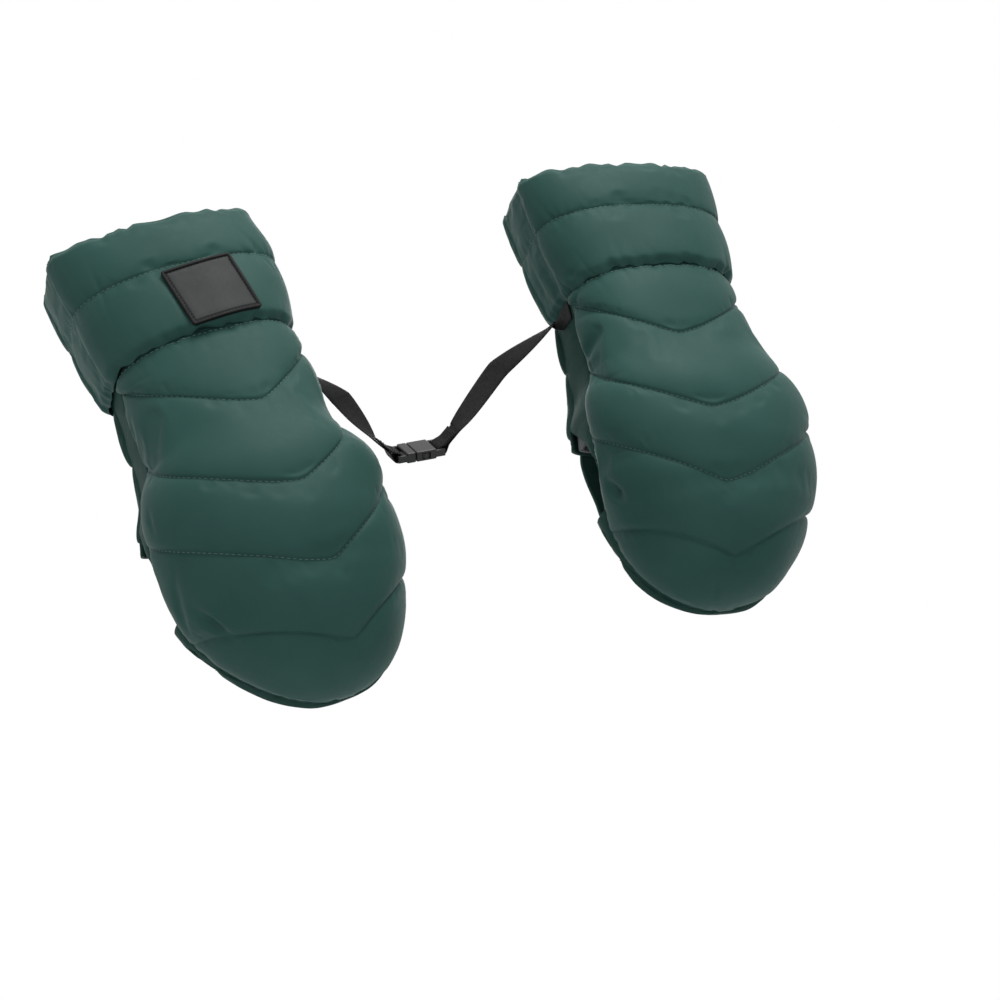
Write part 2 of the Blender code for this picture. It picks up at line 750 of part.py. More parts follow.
def mitt_meshes(mitt):
    """The meshes that both mitts share, in the mitt's own frame."""
    lobe_rim = -SLOT_HALF_HEIGHT
    lobe_rows = [lobe_rim] + [z for z in reversed(RIM_HEIGHTS) if z < lobe_rim - SNAP_EDGE]
    lobe_path = [(-1, z) for z in lobe_rows] + [(1, z) for z in reversed(lobe_rows)]
    wrist_rows = spaced(SLOT_HALF_HEIGHT, HINGE_Z + 2 * GAP, 2)
    wrist_rows += spaced(HINGE_Z + 2 * GAP, BACK_LINE_Z, ROWS_A_CHANNEL)[1:]
    wrist_rows += spaced(BACK_LINE_Z, WRIST_Z, ROWS_A_CHANNEL)[1:] + [BODY_TOP_Z]
    side_rows = [lobe_rim + GAP, EDGE_LOW_Z, EDGE_OVER_Z, EDGE_HIGH_Z, EDGE_FULL_Z, BODY_TOP_Z]
    side_rows += [z for z in RIM_HEIGHTS if z > lobe_rim + 2 * GAP]
    side_rows.sort()
    return {
        "cuff": cuff_mesh(),
        "front_panel": front_panel_mesh(),
        "back_panel": back_mesh(
            "back_panel",
            wrist_rows,
            ((HINGE_Z + 2 * GAP, BACK_LINE_Z), (BACK_LINE_Z, WRIST_Z)),
        ),
        "lobe_back": back_mesh("lobe_back", lobe_rows, ((TIP_Z, lobe_rim - LOBE_BAND),)),
        "lobe_gusset": side_strip("lobe_gusset", lobe_path),
        "outer_gusset": side_strip("outer_gusset", [(-1, z) for z in side_rows], GUSSET_EDGE),
        "inner_gusset": side_strip("inner_gusset", [(1, z) for z in side_rows], GUSSET_EDGE),
        "lining": lining_mesh(mitt),
        "wrist_elastic": elastic_mesh(),
        "bar_flap": shifted(flap_mesh(mitt), hinge_point()),
        "snap_stud": snap_stud_mesh(),
        "snap_socket": snap_socket_mesh(),
    }


FINISHES = {
    "cuff": ("quilted_cloth", CLOTH_GREEN, 0.62),
    "front_panel": ("quilted_cloth", CLOTH_GREEN, 0.62),
    "back_panel": ("back_cloth", CLOTH_DARK, 0.66),
    "lobe_back": ("back_cloth", CLOTH_DARK, 0.66),
    "lobe_gusset": ("gusset_cloth", CLOTH_DARK, 0.64),
    "outer_gusset": ("gusset_cloth", CLOTH_DARK, 0.64),
    "inner_gusset": ("gusset_cloth", CLOTH_DARK, 0.64),
    "lining": ("fleece", FLEECE_GREY, 0.95),
    "wrist_elastic": ("elastic", ELASTIC_WHITE, 0.9),
    "bar_flap": ("back_cloth", CLOTH_DARK, 0.66),
    "snap_stud": ("press_stud", STUD_GREY, 0.35, 1.0),
    "snap_socket": ("press_stud", STUD_GREY, 0.35, 1.0),
}
SNAP_LIFTS = {"snap_stud": GAP, "snap_socket": GAP + STUD_FLANGE + GAP}


def badge_mesh():
    """A curved plate that follows the cuff's front, clear of its fullest channel."""
    foot = CUFF_GAP + CUFF_WALL + CUFF_PUFF + GAP
    outer, inner = [], []
    for z in spaced(BADGE_Z - BADGE_HEIGHT / 2, BADGE_Z + BADGE_HEIGHT / 2, BADGE_ROWS):
        outer.append([])
        inner.append([])
        half = through(HALF_WIDTHS, z)
        for x in spaced(BADGE_X - BADGE_WIDTH / 2, BADGE_X + BADGE_WIDTH / 2, BADGE_COLUMNS):
            away = x - through(SHIFTS, z)
            share = abs(away) / (half + foot)
            angle = math.copysign(math.asin(share ** (WIDTH_POWER / 2)), away)
            inner[-1].append(skin(z, angle, foot, FRONT))
            outer[-1].append(skin(z, angle, foot + BADGE, FRONT))
    return layer("badge", outer, inner)


def rounded_box(name, low, high, parent):
    obj = add_object(name, box_mesh(name, low, high), None, parent)
    bevel = obj.modifiers.new("round", "BEVEL")
    bevel.width = PLASTIC_ROUND
    bevel.segments = 2
    return obj


def webbing_end(name, buckle, direction, start):
    """The rails and the crossbar behind a buckle half, for the strap's loop."""
    half = BUCKLE_WIDTH / 2
    end = start + BAR_SLOT + BUCKLE_BAR
    pieces = []
    for side in (-1, 1):
        xs = sorted((direction * (start - PLASTIC_ROUND), direction * end))
        ys = sorted((side * (half - RAIL), side * half))
        low = (xs[0], ys[0], -RAIL_DEPTH / 2)
        high = (xs[1], ys[1], RAIL_DEPTH / 2)
        piece = box_mesh(f"{name}_rail", low, high)
        pieces.append(cutter(f"{name}_rail_{'upper' if side > 0 else 'lower'}", piece, buckle))
    xs = sorted((direction * (end - BUCKLE_BAR), direction * end))
    low = (xs[0], -half + PLASTIC_ROUND, -BUCKLE_BAR_DEPTH / 2)
    high = (xs[1], half - PLASTIC_ROUND, BUCKLE_BAR_DEPTH / 2)
    pieces.append(cutter(f"{name}_bar", box_mesh(f"{name}_bar", low, high), buckle))
    return pieces


def build_socket(buckle, plastic):
    half = BUCKLE_WIDTH / 2
    low = (0, -half, -BUCKLE_DEPTH / 2)
    high = (SOCKET_BODY, half, BUCKLE_DEPTH / 2)
    socket = rounded_box("buckle_socket", low, high, buckle)
    for piece in webbing_end("socket_end", buckle, 1, SOCKET_BODY):
        join_by(socket, piece, "UNION")
    inner_half = half - SOCKET_WALL
    inner_depth = BUCKLE_DEPTH / 2 - SOCKET_WALL
    cavity = box_mesh(
        "cavity_cutter",
        (-CUTTER_OVERRUN, -inner_half, -inner_depth),
        (SOCKET_CAVITY, inner_half, inner_depth),
    )
    join_by(socket, cutter("cavity_cutter", cavity, buckle), "DIFFERENCE")
    window = box_mesh(
        "window_cutter",
        (WINDOW_START, -half - CUTTER_OVERRUN, -inner_depth),
        (WINDOW_END, half + CUTTER_OVERRUN, inner_depth),
    )
    join_by(socket, cutter("window_cutter", window, buckle), "DIFFERENCE")
    socket.data.materials.append(plastic)


def build_plug(buckle, plastic):
    half = BUCKLE_WIDTH / 2
    low = (-MOUTH_GAP - PLUG_BODY, -half, -BUCKLE_DEPTH / 2)
    high = (-MOUTH_GAP, half, BUCKLE_DEPTH / 2)
    plug = rounded_box("buckle_plug", low, high, buckle)
    for piece in webbing_end("plug_end", buckle, -1, MOUTH_GAP + PLUG_BODY):
        join_by(plug, piece, "UNION")
    low = (-MOUTH_GAP - PLASTIC_ROUND, -TONGUE_WIDTH / 2, -TONGUE_DEPTH / 2)
    high = (TONGUE_LENGTH, TONGUE_WIDTH / 2, TONGUE_DEPTH / 2)
    join_by(plug, cutter("plug_tongue", box_mesh("plug_tongue", low, high), buckle), "UNION")
    plug.data.materials.append(plastic)


def prong_outline(side):
    """The prong seen from above: knuckle, arm, pad in the socket's window, and nose."""
    knuckle_x = PRONG_KNUCKLE - MOUTH_GAP + GAP
    arm_in = PRONG_Y - PRONG_ARM / 2
    arm_out = PRONG_Y + PRONG_ARM / 2
    pad_start = WINDOW_START + PAD_GAP
    pad_end = WINDOW_END - PAD_GAP
    pad_y = BUCKLE_WIDTH / 2 + PAD_PROUD
    pad_middle = (pad_start + pad_end) / 2
    cavity = BUCKLE_WIDTH / 2 - SOCKET_WALL
    points = []
    for turn in spaced(math.radians(60), math.radians(300), 6):
        x = knuckle_x + PRONG_KNUCKLE * math.cos(turn)
        points.append((x, PRONG_Y + PRONG_KNUCKLE * math.sin(turn)))
    points.append((PRONG_END, arm_in))
    points.append((PRONG_END, arm_out))
    points.append((pad_end, cavity - PAD_GAP))
    points.append((pad_end, cavity + PAD_SHOULDER))
    points.append((pad_middle + PAD_FLAT / 2, pad_y))
    points.append((pad_middle - PAD_FLAT / 2, pad_y))
    points.append((pad_start, cavity + PAD_SHOULDER))
    points.append((pad_start, arm_out))
    return (knuckle_x, PRONG_Y), [(x, side * y) for x, y in points]


def build_prong(side, buckle, plastic):
    pivot, points = prong_outline(side)
    name = f"buckle_prong_{'upper' if side > 0 else 'lower'}"
    hinge = add_empty(f"{name}_hinge", (pivot[0], side * pivot[1], 0), parent=buckle)
    curve = bpy.data.curves.new(name, "CURVE")
    curve.dimensions = "2D"
    curve.fill_mode = "BOTH"
    curve.extrude = PRONG_DEPTH / 2
    spline = curve.splines.new("POLY")
    spline.points.add(len(points) - 1)
    for point, (x, y) in zip(spline.points, points):
        point.co = (x - pivot[0], y - side * pivot[1], 0, 1)
    spline.use_cyclic_u = True
    prong = bpy.data.objects.new(name, curve)
    bpy.data.collections["stroller_hand_muff"].objects.link(prong)
    curve.materials.append(plastic)
    prong.parent = hinge


def ribbon_mesh(name, frames):
    """A flat strip from (point, heading, width direction) frames, one closed body."""
    bm = bmesh.new()
    rows = []
    for point, heading, width in frames:
        across = (width - heading * width.dot(heading)).normalized() * (WEBBING_WIDTH / 2)
        up = heading.cross(across).normalized() * (WEBBING / 2)
        corners = (-across - up, across - up, across + up, -across + up)
        rows.append([bm.verts.new(point + corner) for corner in corners])
    for low, high in zip(rows, rows[1:]):
        for i in range(4):
            j = (i + 1) % 4
            bm.faces.new((low[i], low[j], high[j], high[i]))
    bm.faces.new(rows[0])
    bm.faces.new(rows[-1])
    return mesh_from(bm, name)


def hung(first, last, steps):
    """Frames on a smooth curve after the first frame, up to and with the last one."""
    reach = (last[0] - first[0]).length * STRAP_HANDLE_SHARE
    frames = []
    for t in spaced(0, 1, steps)[1:]:
        ease = t * t * (3 - 2 * t)
        place = first[0].lerp(last[0], ease)
        place += first[1] * reach * t * (1 - t) ** 2 - last[1] * reach * t * t * (1 - t)
        heading = (last[0] - first[0]) * 6 * t * (1 - t)
        heading += first[1] * reach * (1 - t) * (1 - 3 * t)
        heading += last[1] * reach * t * (3 * t - 2)
        frames.append((place, heading.normalized(), first[2].lerp(last[2], t)))
    return frames


def sewn_loop(side, bar_x):
    """Frames down to a buckle's crossbar, round it, and back as a sewn tail."""
    normal = Vector((0, -math.sin(BUCKLE_LEAN), math.cos(BUCKLE_LEAN)))
    width = Vector((0, math.cos(BUCKLE_LEAN), math.sin(BUCKLE_LEAN)))
    away = Vector((side * math.cos(STRAP_LOOP_LEAN), 0, 0)) + normal * math.sin(STRAP_LOOP_LEAN)
    lift = width.cross(away) * side
    bar = Vector((BUCKLE_X + bar_x, -BAR_BACK, BUCKLE_Z))
    radius = math.hypot(BUCKLE_BAR, BUCKLE_BAR_DEPTH) / 2 + 2 * GAP + WEBBING / 2
    leg = (WEBBING + STRAP_TAIL_GAP) / 2

    def on_leg(distance, sign):
        offset = leg + (radius - leg) * (1 - eased(0, STRAP_LOOP_TAPER, distance))
        return bar + away * distance + lift * offset * sign

    step = 1 * MM
    frames = []
    for distance in spaced(STRAP_LOOP_LENGTH, 0, 6):
        heading = on_leg(max(distance - step, 0), 1) - on_leg(distance + step, 1)
        frames.append((on_leg(distance, 1), heading.normalized(), width))
    for turn in spaced(0, math.pi, LOOP_STEPS)[1:-1]:
        place = bar - away * radius * math.sin(turn) + lift * radius * math.cos(turn)
        heading = -away * math.cos(turn) - lift * math.sin(turn)
        frames.append((place, heading, width))
    for distance in spaced(0, STRAP_TAIL, 5):
        heading = on_leg(distance + step, -1) - on_leg(max(distance - step, 0), -1)
        frames.append((on_leg(distance, -1), heading.normalized(), width))
    return frames


def strap_frames(side, mitt, bar_x):
    """The strap from the front seam of the mitt's inner gusset to its sewn loop."""
    heights = spaced(STRAP_Z - WEBBING_WIDTH / 2, STRAP_Z + WEBBING_WIDTH / 2, 4)
    seat = max(side_skin(z, 0, 0, 1).x for z in heights) + STRAP_SEAT_GAP + WEBBING / 2
    front = through(FRONT_SEAM, STRAP_Z)

    def in_world(point, heading, width):
        turn = mitt.matrix_world.to_3x3()
        place = mitt.matrix_world @ Vector(point)
        return place, (turn @ Vector(heading)).normalized(), (turn @ Vector(width)).normalized()

    sewn = in_world((seat, front + STRAP_SEAM_GAP, STRAP_Z), (0, 1, 0), (0, 0, 1))
    lifted = in_world((seat + STRAP_LIFT, STRAP_LIFT_Y, STRAP_Z), (0, 1, 0), (0, 0, 1))
    twist = (seat + STRAP_TWIST_OUT, STRAP_TWIST_Y, STRAP_Z + STRAP_TWIST_RISE)
    twisted = in_world(twist, TWIST_HEADING_SHARES, TWIST_WIDTH_SHARES)
    loop = sewn_loop(side, bar_x)
    slope, bow = STRAP_HANGS[side]
    width = Vector((-side * math.sin(slope), 0, math.cos(slope)))
    straight = loop[0][0] - twisted[0]
    middle = (twisted[0] + straight / 2 + width * bow, straight.normalized(), width)
    frames = [sewn, *hung(sewn, lifted, 2), *hung(lifted, twisted, 5)]
    frames += hung(twisted, middle, 7)
    return frames + hung(middle, loop[0], 6) + loop[1:]


def build_strap(name, side, mitt, webbing):
    """A strap of webbing between a mitt's inner gusset and its half of the buckle."""
    start = MOUTH_GAP + PLUG_BODY if side < 0 else SOCKET_BODY
    bar_x = side * (start + BAR_SLOT + BUCKLE_BAR / 2)
    frames = strap_frames(side, mitt, bar_x)
    seam = frames[0][0]
    strap = add_object(name, shifted(ribbon_mesh(name, frames), seam), webbing)
    strap.location = seam


def build_mitt(side, mitt, meshes):
    hinge = add_empty(f"{side}_flap_hinge", hinge_point(), parent=mitt)
    for piece, mesh in meshes.items():
        material = finish(*FINISHES[piece])
        if piece not in SNAP_LIFTS:
            carrier = hinge if piece == "bar_flap" else mitt
            add_object(f"{side}_{piece}", mesh, material, carrier)
            continue
        for place, x_sign in (("outer", -1), ("inner", 1)):
            place_at, normal = off_back(SNAP_Z, x_sign * SNAP_ANGLE, SNAP_LIFTS[piece])
            carrier = hinge if piece == "snap_socket" else mitt
            snap = add_object(f"{side}_{piece}_{place}", mesh, material, carrier)
            snap.location = place_at - (hinge_point() if carrier == hinge else Vector())
            snap.rotation_mode = "QUATERNION"
            snap.rotation_quaternion = Vector((0, 0, 1)).rotation_difference(normal)


def main():
    for obj in list(bpy.data.objects):
        bpy.data.objects.remove(obj)
    for name in ("stroller_hand_muff", "cutters"):
        collection = bpy.data.collections.new(name)
        bpy.context.scene.collection.children.link(collection)
    bpy.data.collections["cutters"].hide_render = True
    left = add_empty("left_mitt", (-SPACING / 2, -BAR_BACK, 0), (0, -SPLAY, 0))
    right = add_empty("right_mitt", (SPACING / 2, -BAR_BACK, 0), (0, SPLAY, 0))
    right.scale.x = -1
    meshes = mitt_meshes(left)
    build_mitt("left", left, meshes)
    build_mitt("right", right, meshes)
    add_object("left_badge", badge_mesh(), finish("badge_rubber", RUBBER_GREY, 0.5), left)

    plastic = finish("buckle_plastic", PLASTIC_BLACK, 0.42)
    buckle = add_empty("buckle", (BUCKLE_X, -BAR_BACK, BUCKLE_Z), (BUCKLE_LEAN, 0, 0))
    build_socket(buckle, plastic)
    build_plug(buckle, plastic)
    build_prong(1, buckle, plastic)
    build_prong(-1, buckle, plastic)
    webbing = finish("webbing", WEBBING_BLACK, 0.8)
    bpy.context.view_layer.update()
    build_strap("left_strap", -1, left, webbing)
    build_strap("right_strap", 1, right, webbing)


main()
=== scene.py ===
"""Looks of the stroller hand muff: quilted cloth, fleece, webbing and moulded plastic round its
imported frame. Metres, in the frame's axes: cuffs to +Z, quilted fronts to -Y, handlebar along X.
"""

import math

import bmesh
import bpy
import numpy as np
from mathutils import Matrix, Vector


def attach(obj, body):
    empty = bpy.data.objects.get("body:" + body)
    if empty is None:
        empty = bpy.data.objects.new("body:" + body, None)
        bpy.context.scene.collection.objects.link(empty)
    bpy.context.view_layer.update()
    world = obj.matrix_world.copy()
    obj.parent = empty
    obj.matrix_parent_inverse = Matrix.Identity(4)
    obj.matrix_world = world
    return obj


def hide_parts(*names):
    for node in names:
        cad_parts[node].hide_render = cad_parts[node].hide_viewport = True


MM = 0.001
GAP = 0.3 * MM
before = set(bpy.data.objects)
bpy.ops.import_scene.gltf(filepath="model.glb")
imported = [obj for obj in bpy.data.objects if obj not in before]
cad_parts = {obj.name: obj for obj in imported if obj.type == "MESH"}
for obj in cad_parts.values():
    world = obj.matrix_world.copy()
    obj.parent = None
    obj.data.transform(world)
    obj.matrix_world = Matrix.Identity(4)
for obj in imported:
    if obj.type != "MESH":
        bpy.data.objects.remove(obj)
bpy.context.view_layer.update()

# The same places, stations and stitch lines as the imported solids
SPACING = 300 * MM
SPLAY = math.radians(7.3)
BAR_BACK = 12 * MM
TIP_Z, LOBE_Z = -110.5 * MM, -10 * MM
WRIST_Z, TOP_Z = 133.2 * MM, 228.5 * MM
BODY_TOP_Z = WRIST_Z + 8 * MM
SLOT_Z = 30 * MM
BACK_CROWN = 16 * MM
WIDTH_POWER, CROWN_POWER, LOBE_POWER = 2.4, 2.2, 2.0
TIP_STOP = 0.995
LOBE_LENGTH = LOBE_Z - TIP_Z
FRONT, BACK = -1, 1
PANEL = 4 * MM
QUARTER = math.pi / 2
CUFF_GAP = 0.6 * MM
ELASTIC = 1.2 * MM
LINING = 3 * MM
FLAP = 2.5 * MM
FLAP_STEP = 16 * MM
FLAP_LAP = 32 * MM
HINGE_Z = SLOT_Z + 10 * MM
SNAP_STACK = 3.4 * MM
CUFF_LINE_Z = 186.8 * MM
BACK_LINE_Z = 92 * MM
LINES_MM = ((-110, 0), (-89.2, 44.3), (-45.1, 62.6), (6.3, 62.7), (71.7, 55.3), (133.2, 0))
FRONT_LINES = [(low * MM, rise * MM) for low, rise in LINES_MM]
FRONT_LINES[0] = (LOBE_Z - TIP_STOP * LOBE_LENGTH, 0.0)
WAIST_Z, WAIST_REACH, WAIST_PINCH = 54 * MM, 24 * MM, 9 * MM
MOUTH_PINCH = 7 * MM
LEFT_NARROWING, RIGHT_NARROWING = 0.08, 0.07
UNDER = 3 * MM
CORNER_LIFTS = {"left": (4 * MM, 7 * MM), "right": (8 * MM, 4 * MM)}


def stations(*pairs):
    """A smooth curve through (height, size) stations in millimetres, for arrays of heights."""
    heights = np.array([p[0] for p in pairs]) * MM
    sizes = np.array([p[1] for p in pairs]) * MM
    before = np.maximum(np.arange(len(pairs)) - 1, 0)
    after = np.minimum(np.arange(len(pairs)) + 1, len(pairs) - 1)
    slopes = (sizes[after] - sizes[before]) / (heights[after] - heights[before])

    def at(z):
        z = np.clip(z, heights[0], heights[-1])
        i = np.clip(np.searchsorted(heights, z, side="right") - 1, 0, len(heights) - 2)
        span = heights[i + 1] - heights[i]
        t = (z - heights[i]) / span
        bend = span * (slopes[i] * (1 - t) - slopes[i + 1] * t)
        return sizes[i] + (sizes[i + 1] - sizes[i]) * t * t * (3 - 2 * t) + bend * t * (1 - t)

    return at


half_width = stations(
    (-10, 76), (15, 77.5), (42, 73), (66, 63.5), (100, 61), (133.2, 60), (171, 66.5), (228.5, 72.5)
)
side_shift = stations((-110.5, -2), (-10, -7.5), (66, -2), (228.5, 3.7))
crown_of = stations((-50, 75), (-10, 63), (30, 53), (66, 44), (133.2, 42), (228.5, 29))
front_seam = stations(
    (-110.5, 1.5), (-50, 5), (-30, -2), (0, -13), (30, -20), (66, -20), (133.2, -16), (228.5, -18)
)
back_seam = stations((-110.5, 5), (-50, 13), (-30, 16.5), (30, 22), (133.2, 16), (228.5, 18))
gusset_edge = stations((-30, 1), (-16, -5.5), (0, -9.5), (13, -8), (27, 2), (46, 22))


def skin(z, angle, out, face):
    """Points of a mitt's surface in its own frame, as an array that ends in x, y, z."""
    z, angle, out = np.broadcast_arrays(np.asarray(z, float), angle, out)
    below = z < LOBE_Z
    share = np.clip((LOBE_Z - z) / LOBE_LENGTH, 0, TIP_STOP)
    width = np.where(below, (1 - share**LOBE_POWER) ** (1 / LOBE_POWER), 1)
    crown = np.maximum(1 - (share / TIP_STOP) ** LOBE_POWER, 0) ** (1 / LOBE_POWER)
    crown = np.where(below, crown, 1)
    height = np.where(below, LOBE_Z - share * (LOBE_LENGTH + out), z)
    level = np.maximum(z, FRONT_LINES[0][0])
    size = crown_of(level) if face == FRONT else BACK_CROWN
    seam = front_seam(level) if face == FRONT else back_seam(level)
    across = np.copysign(np.abs(np.sin(angle)) ** (2 / WIDTH_POWER), angle)
    forward = np.maximum(np.cos(angle), 0) ** (2 / CROWN_POWER)
    forward = np.where(np.abs(across) > 1 - 1e-9, 0, forward)
    x = (half_width(level) + out) * width * across + side_shift(level)
    y = seam + face * (size + out) * crown * forward
    return np.stack([x, y, height], -1)


def eased(low, high, value):
    t = np.clip((value - low) / (high - low), 0, 1)
    return t * t * (3 - 2 * t)


def chevron(turn):
    """How far a V-shaped stitch line has risen at a share of the quarter turn from the middle
    to a side seam: 0 at its apex and 1 at the seams."""
    away = turn - 0.06
    away = np.abs(away) / np.where(away > 0, 0.94, 1.06)
    return (np.hypot(away, 0.025) - 0.025) / (math.hypot(1, 0.025) - 0.025)


def unit(vectors):
    return vectors / np.maximum(np.linalg.norm(vectors, axis=-1, keepdims=True), 1e-12)


def outward(grid, inner, ring=False):
    """Unit directions out of a grid's surface, away from its inner face."""
    along = np.gradient(grid, axis=0)
    if ring:
        wide = np.concatenate([grid[:, -1:], grid, grid[:, :1]], 1)
        across = (wide[:, 2:] - wide[:, :-2]) / 2
    else:
        across = np.gradient(grid, axis=1)
    normal = unit(np.cross(across, along))
    return normal * np.sign(np.sum(normal * (grid - inner)))


def lengths(grid, axis):
    """Running length along rows or columns of a grid."""
    steps = np.linalg.norm(np.diff(grid, axis=axis), axis=-1)
    start = np.zeros_like(np.take(steps, [0], axis=axis))
    return np.concatenate([start, np.cumsum(steps, axis=axis)], axis=axis)


def halved(points):
    """Points along the first axis with one smooth point added between each two."""
    middle = (points[:-1] + points[1:]) / 2
    if len(points) > 3:
        ends = points[:-3] + points[3:]
        middle[1:-1] = (9 * (points[1:-2] + points[2:-1]) - ends) / 16
        middle[0] = (3 * points[0] + 6 * points[1] - points[2]) / 8
        middle[-1] = (3 * points[-1] + 6 * points[-2] - points[-3]) / 8
    out = np.empty((2 * len(points) - 1, *points.shape[1:]))
    out[::2] = points
    out[1::2] = middle
    return out


def finer(grid, rows=(), columns=()):
    """The grid at twice the resolution, smooth but for creases at the given rows and columns."""
    for turn, creases in ((False, rows), (True, columns)):
        grid = grid.swapaxes(0, 1) if turn else grid
        stops = [0, *creases, len(grid) - 1]
        parts = [halved(grid[a : b + 1])[:-1] for a, b in zip(stops, stops[1:])]
        grid = np.concatenate([*parts, grid[-1:]])
        grid = grid.swapaxes(0, 1) if turn else grid
    return grid


def mesh_of(name, grids, ring=False):
    """A mesh of one grid, or of an outer and an inner grid with their borders joined."""
    rows, columns = grids[0].shape[:2]
    points = np.concatenate([g.reshape(-1, 3) for g in grids])
    index = np.arange(rows * columns).reshape(rows, columns)
    if ring:
        index = np.concatenate([index, index[:, :1]], 1)
    quads = np.stack([index[:-1, :-1], index[:-1, 1:], index[1:, 1:], index[1:, :-1]], -1)
    faces = [quads.reshape(-1, 4)]
    if len(grids) > 1:
        count = rows * columns
        faces.append(quads.reshape(-1, 4)[:, ::-1] + count)
        borders = [index[-1], index[0][::-1]]
        if not ring:
            borders += [index[:, 0], index[::-1, -1]]
        for line in borders:
            a, b = line[:-1], line[1:]
            faces.append(np.stack([a, b, b + count, a + count], -1))
    mesh = bpy.data.meshes.new(name)
    mesh.from_pydata(points.tolist(), [], np.concatenate(faces).tolist())
    mesh.update()
    return mesh


def linked(name, data):
    """An object of the data, in the scene."""
    obj = bpy.data.objects.new(name, data)
    bpy.context.scene.collection.objects.link(obj)
    return obj


def add_piece(name, mesh, material, body, slot, *nodes):
    obj = linked(name, mesh)
    if not mesh.materials:
        mesh.materials.append(material)
    mesh.shade_smooth()
    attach(obj, body)
    if nodes:
        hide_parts(*nodes)
    return obj


def oriented(mesh, count=0, starts=()):
    """The mesh facing outwards, after a cap on each ring of count points from a start."""
    bm = bmesh.new()
    bm.from_mesh(mesh)
    bm.verts.ensure_lookup_table()
    for start in starts:
        bm.faces.new([bm.verts[start + i] for i in range(count)])
    bmesh.ops.recalc_face_normals(bm, faces=bm.faces)
    bm.to_mesh(mesh)
    bm.free()
    return mesh


def world_of(side):
    """The matrix that takes a mitt's own frame to the row frame."""
    sign = -1 if side == "left" else 1
    place = Matrix.Translation((sign * SPACING / 2, -BAR_BACK, 0))
    turn = Matrix.Rotation(sign * SPLAY, 4, "Y")
    return place @ turn @ Matrix.Diagonal((-sign, 1, 1, 1))


def settled(grid, side):
    """The mitt's cloth as it hangs: the left waist and mouth are pinched on the inner side, and
    the lobes narrow a little."""
    x, z = grid[..., 0], grid[..., 2]
    if side == "left":
        moved = x * (1 - LEFT_NARROWING * eased(-38 * MM, -92 * MM, z))
        near = np.exp(-(((z - WAIST_Z) / WAIST_REACH) ** 2))
        moved -= WAIST_PINCH * near * eased(15 * MM, 70 * MM, x)
        moved -= MOUTH_PINCH * eased(190 * MM, TOP_Z, z) * eased(25 * MM, 72 * MM, x)
    else:
        narrow = x * (1 - RIGHT_NARROWING * eased(-62 * MM, -98 * MM, z))
        moved = np.where(x < 0, narrow, x)
    return np.stack([moved, grid[..., 1], z], -1)


def placed(grid, side):
    matrix = np.array(world_of(side))
    return settled(grid, side) @ matrix[:3, :3].T + matrix[:3, 3]


CLOTH = {
    "quality": 4,
    "mass": 0.12,
    "tension_stiffness": 20,
    "compression_stiffness": 20,
    "shear_stiffness": 14,
    "bending_stiffness": 6.0,
    "tension_damping": 12,
    "compression_damping": 12,
    "air_damping": 4,
    "shrink_min": -0.006,
    "vertex_group_mass": "pins",
    "use_pressure": True,
}
CLOTH_STEPS = 20
MOST_MOVE, MOST_SINK = 4 * MM, 0.6 * MM


def inflated(grid, inner, fixed, ring=False, pressure=3.0):
    """The grid as cloth, held at the fixed points and blown out a little between them."""
    mesh = mesh_of("cloth", [grid], ring)
    cloth = linked("cloth", oriented(mesh))
    pins = cloth.vertex_groups.new(name="pins")
    pins.add(np.flatnonzero(fixed.ravel()).tolist(), 1.0, "REPLACE")
    modifier = cloth.modifiers.new("cloth", "CLOTH")
    for key, value in CLOTH.items():
        setattr(modifier.settings, key, value)
    modifier.settings.uniform_pressure_force = pressure
    modifier.settings.effector_weights.gravity = 0
    modifier.collision_settings.use_collision = False
    modifier.collision_settings.use_self_collision = False
    modifier.point_cache.frame_start = 1
    modifier.point_cache.frame_end = CLOTH_STEPS
    for step in range(1, CLOTH_STEPS + 1):
        bpy.context.scene.frame_set(step)
    graph = bpy.context.evaluated_depsgraph_get()
    evaluated = cloth.evaluated_get(graph).to_mesh()
    moved = np.empty(len(mesh.vertices) * 3)
    evaluated.vertices.foreach_get("co", moved)
    cloth.evaluated_get(graph).to_mesh_clear()
    bpy.data.objects.remove(cloth)
    bpy.data.meshes.remove(mesh)
    bpy.context.scene.frame_set(1)
    move = moved.reshape(grid.shape) - grid
    far = np.maximum(np.linalg.norm(move, axis=-1, keepdims=True), 1e-9)
    move *= MOST_MOVE * np.tanh(far / MOST_MOVE) / far
    normal = outward(grid, inner, ring)
    out = np.sum(move * normal, -1, keepdims=True)
    return grid + move + normal * (np.maximum(out, -MOST_SINK) - out)


def puckered(grid, normal, lines, seed):
    """Small gathers across stitch rows. Each line is (row, depth, reach), in metres."""
    rng = np.random.default_rng(seed)
    down = lengths(grid, 0)
    move = np.zeros(grid.shape[:2])
    for row, depth, reach in lines:
        run = lengths(grid[row : row + 1], 1)[0]
        away = down - down[row]
        place = 3 * MM
        while place < run[-1] - 3 * MM:
            width = rng.uniform(1.2, 2.6) * MM
            long = reach * rng.uniform(0.35, 1.3)
            deep = depth * rng.uniform(0.2, 1.0) ** 1.5
            lean = rng.uniform(-0.3, 0.3)
            cross = (run[None, :] - place - lean * away) / width
            fade = np.exp(-np.abs(away) / long) * (1 - np.exp(-((away / (1.0 * MM)) ** 2)))
            move -= deep * np.exp(-(cross**2)) * fade
            place += rng.uniform(3.5, 11) * MM
    return grid + normal * move[..., None]


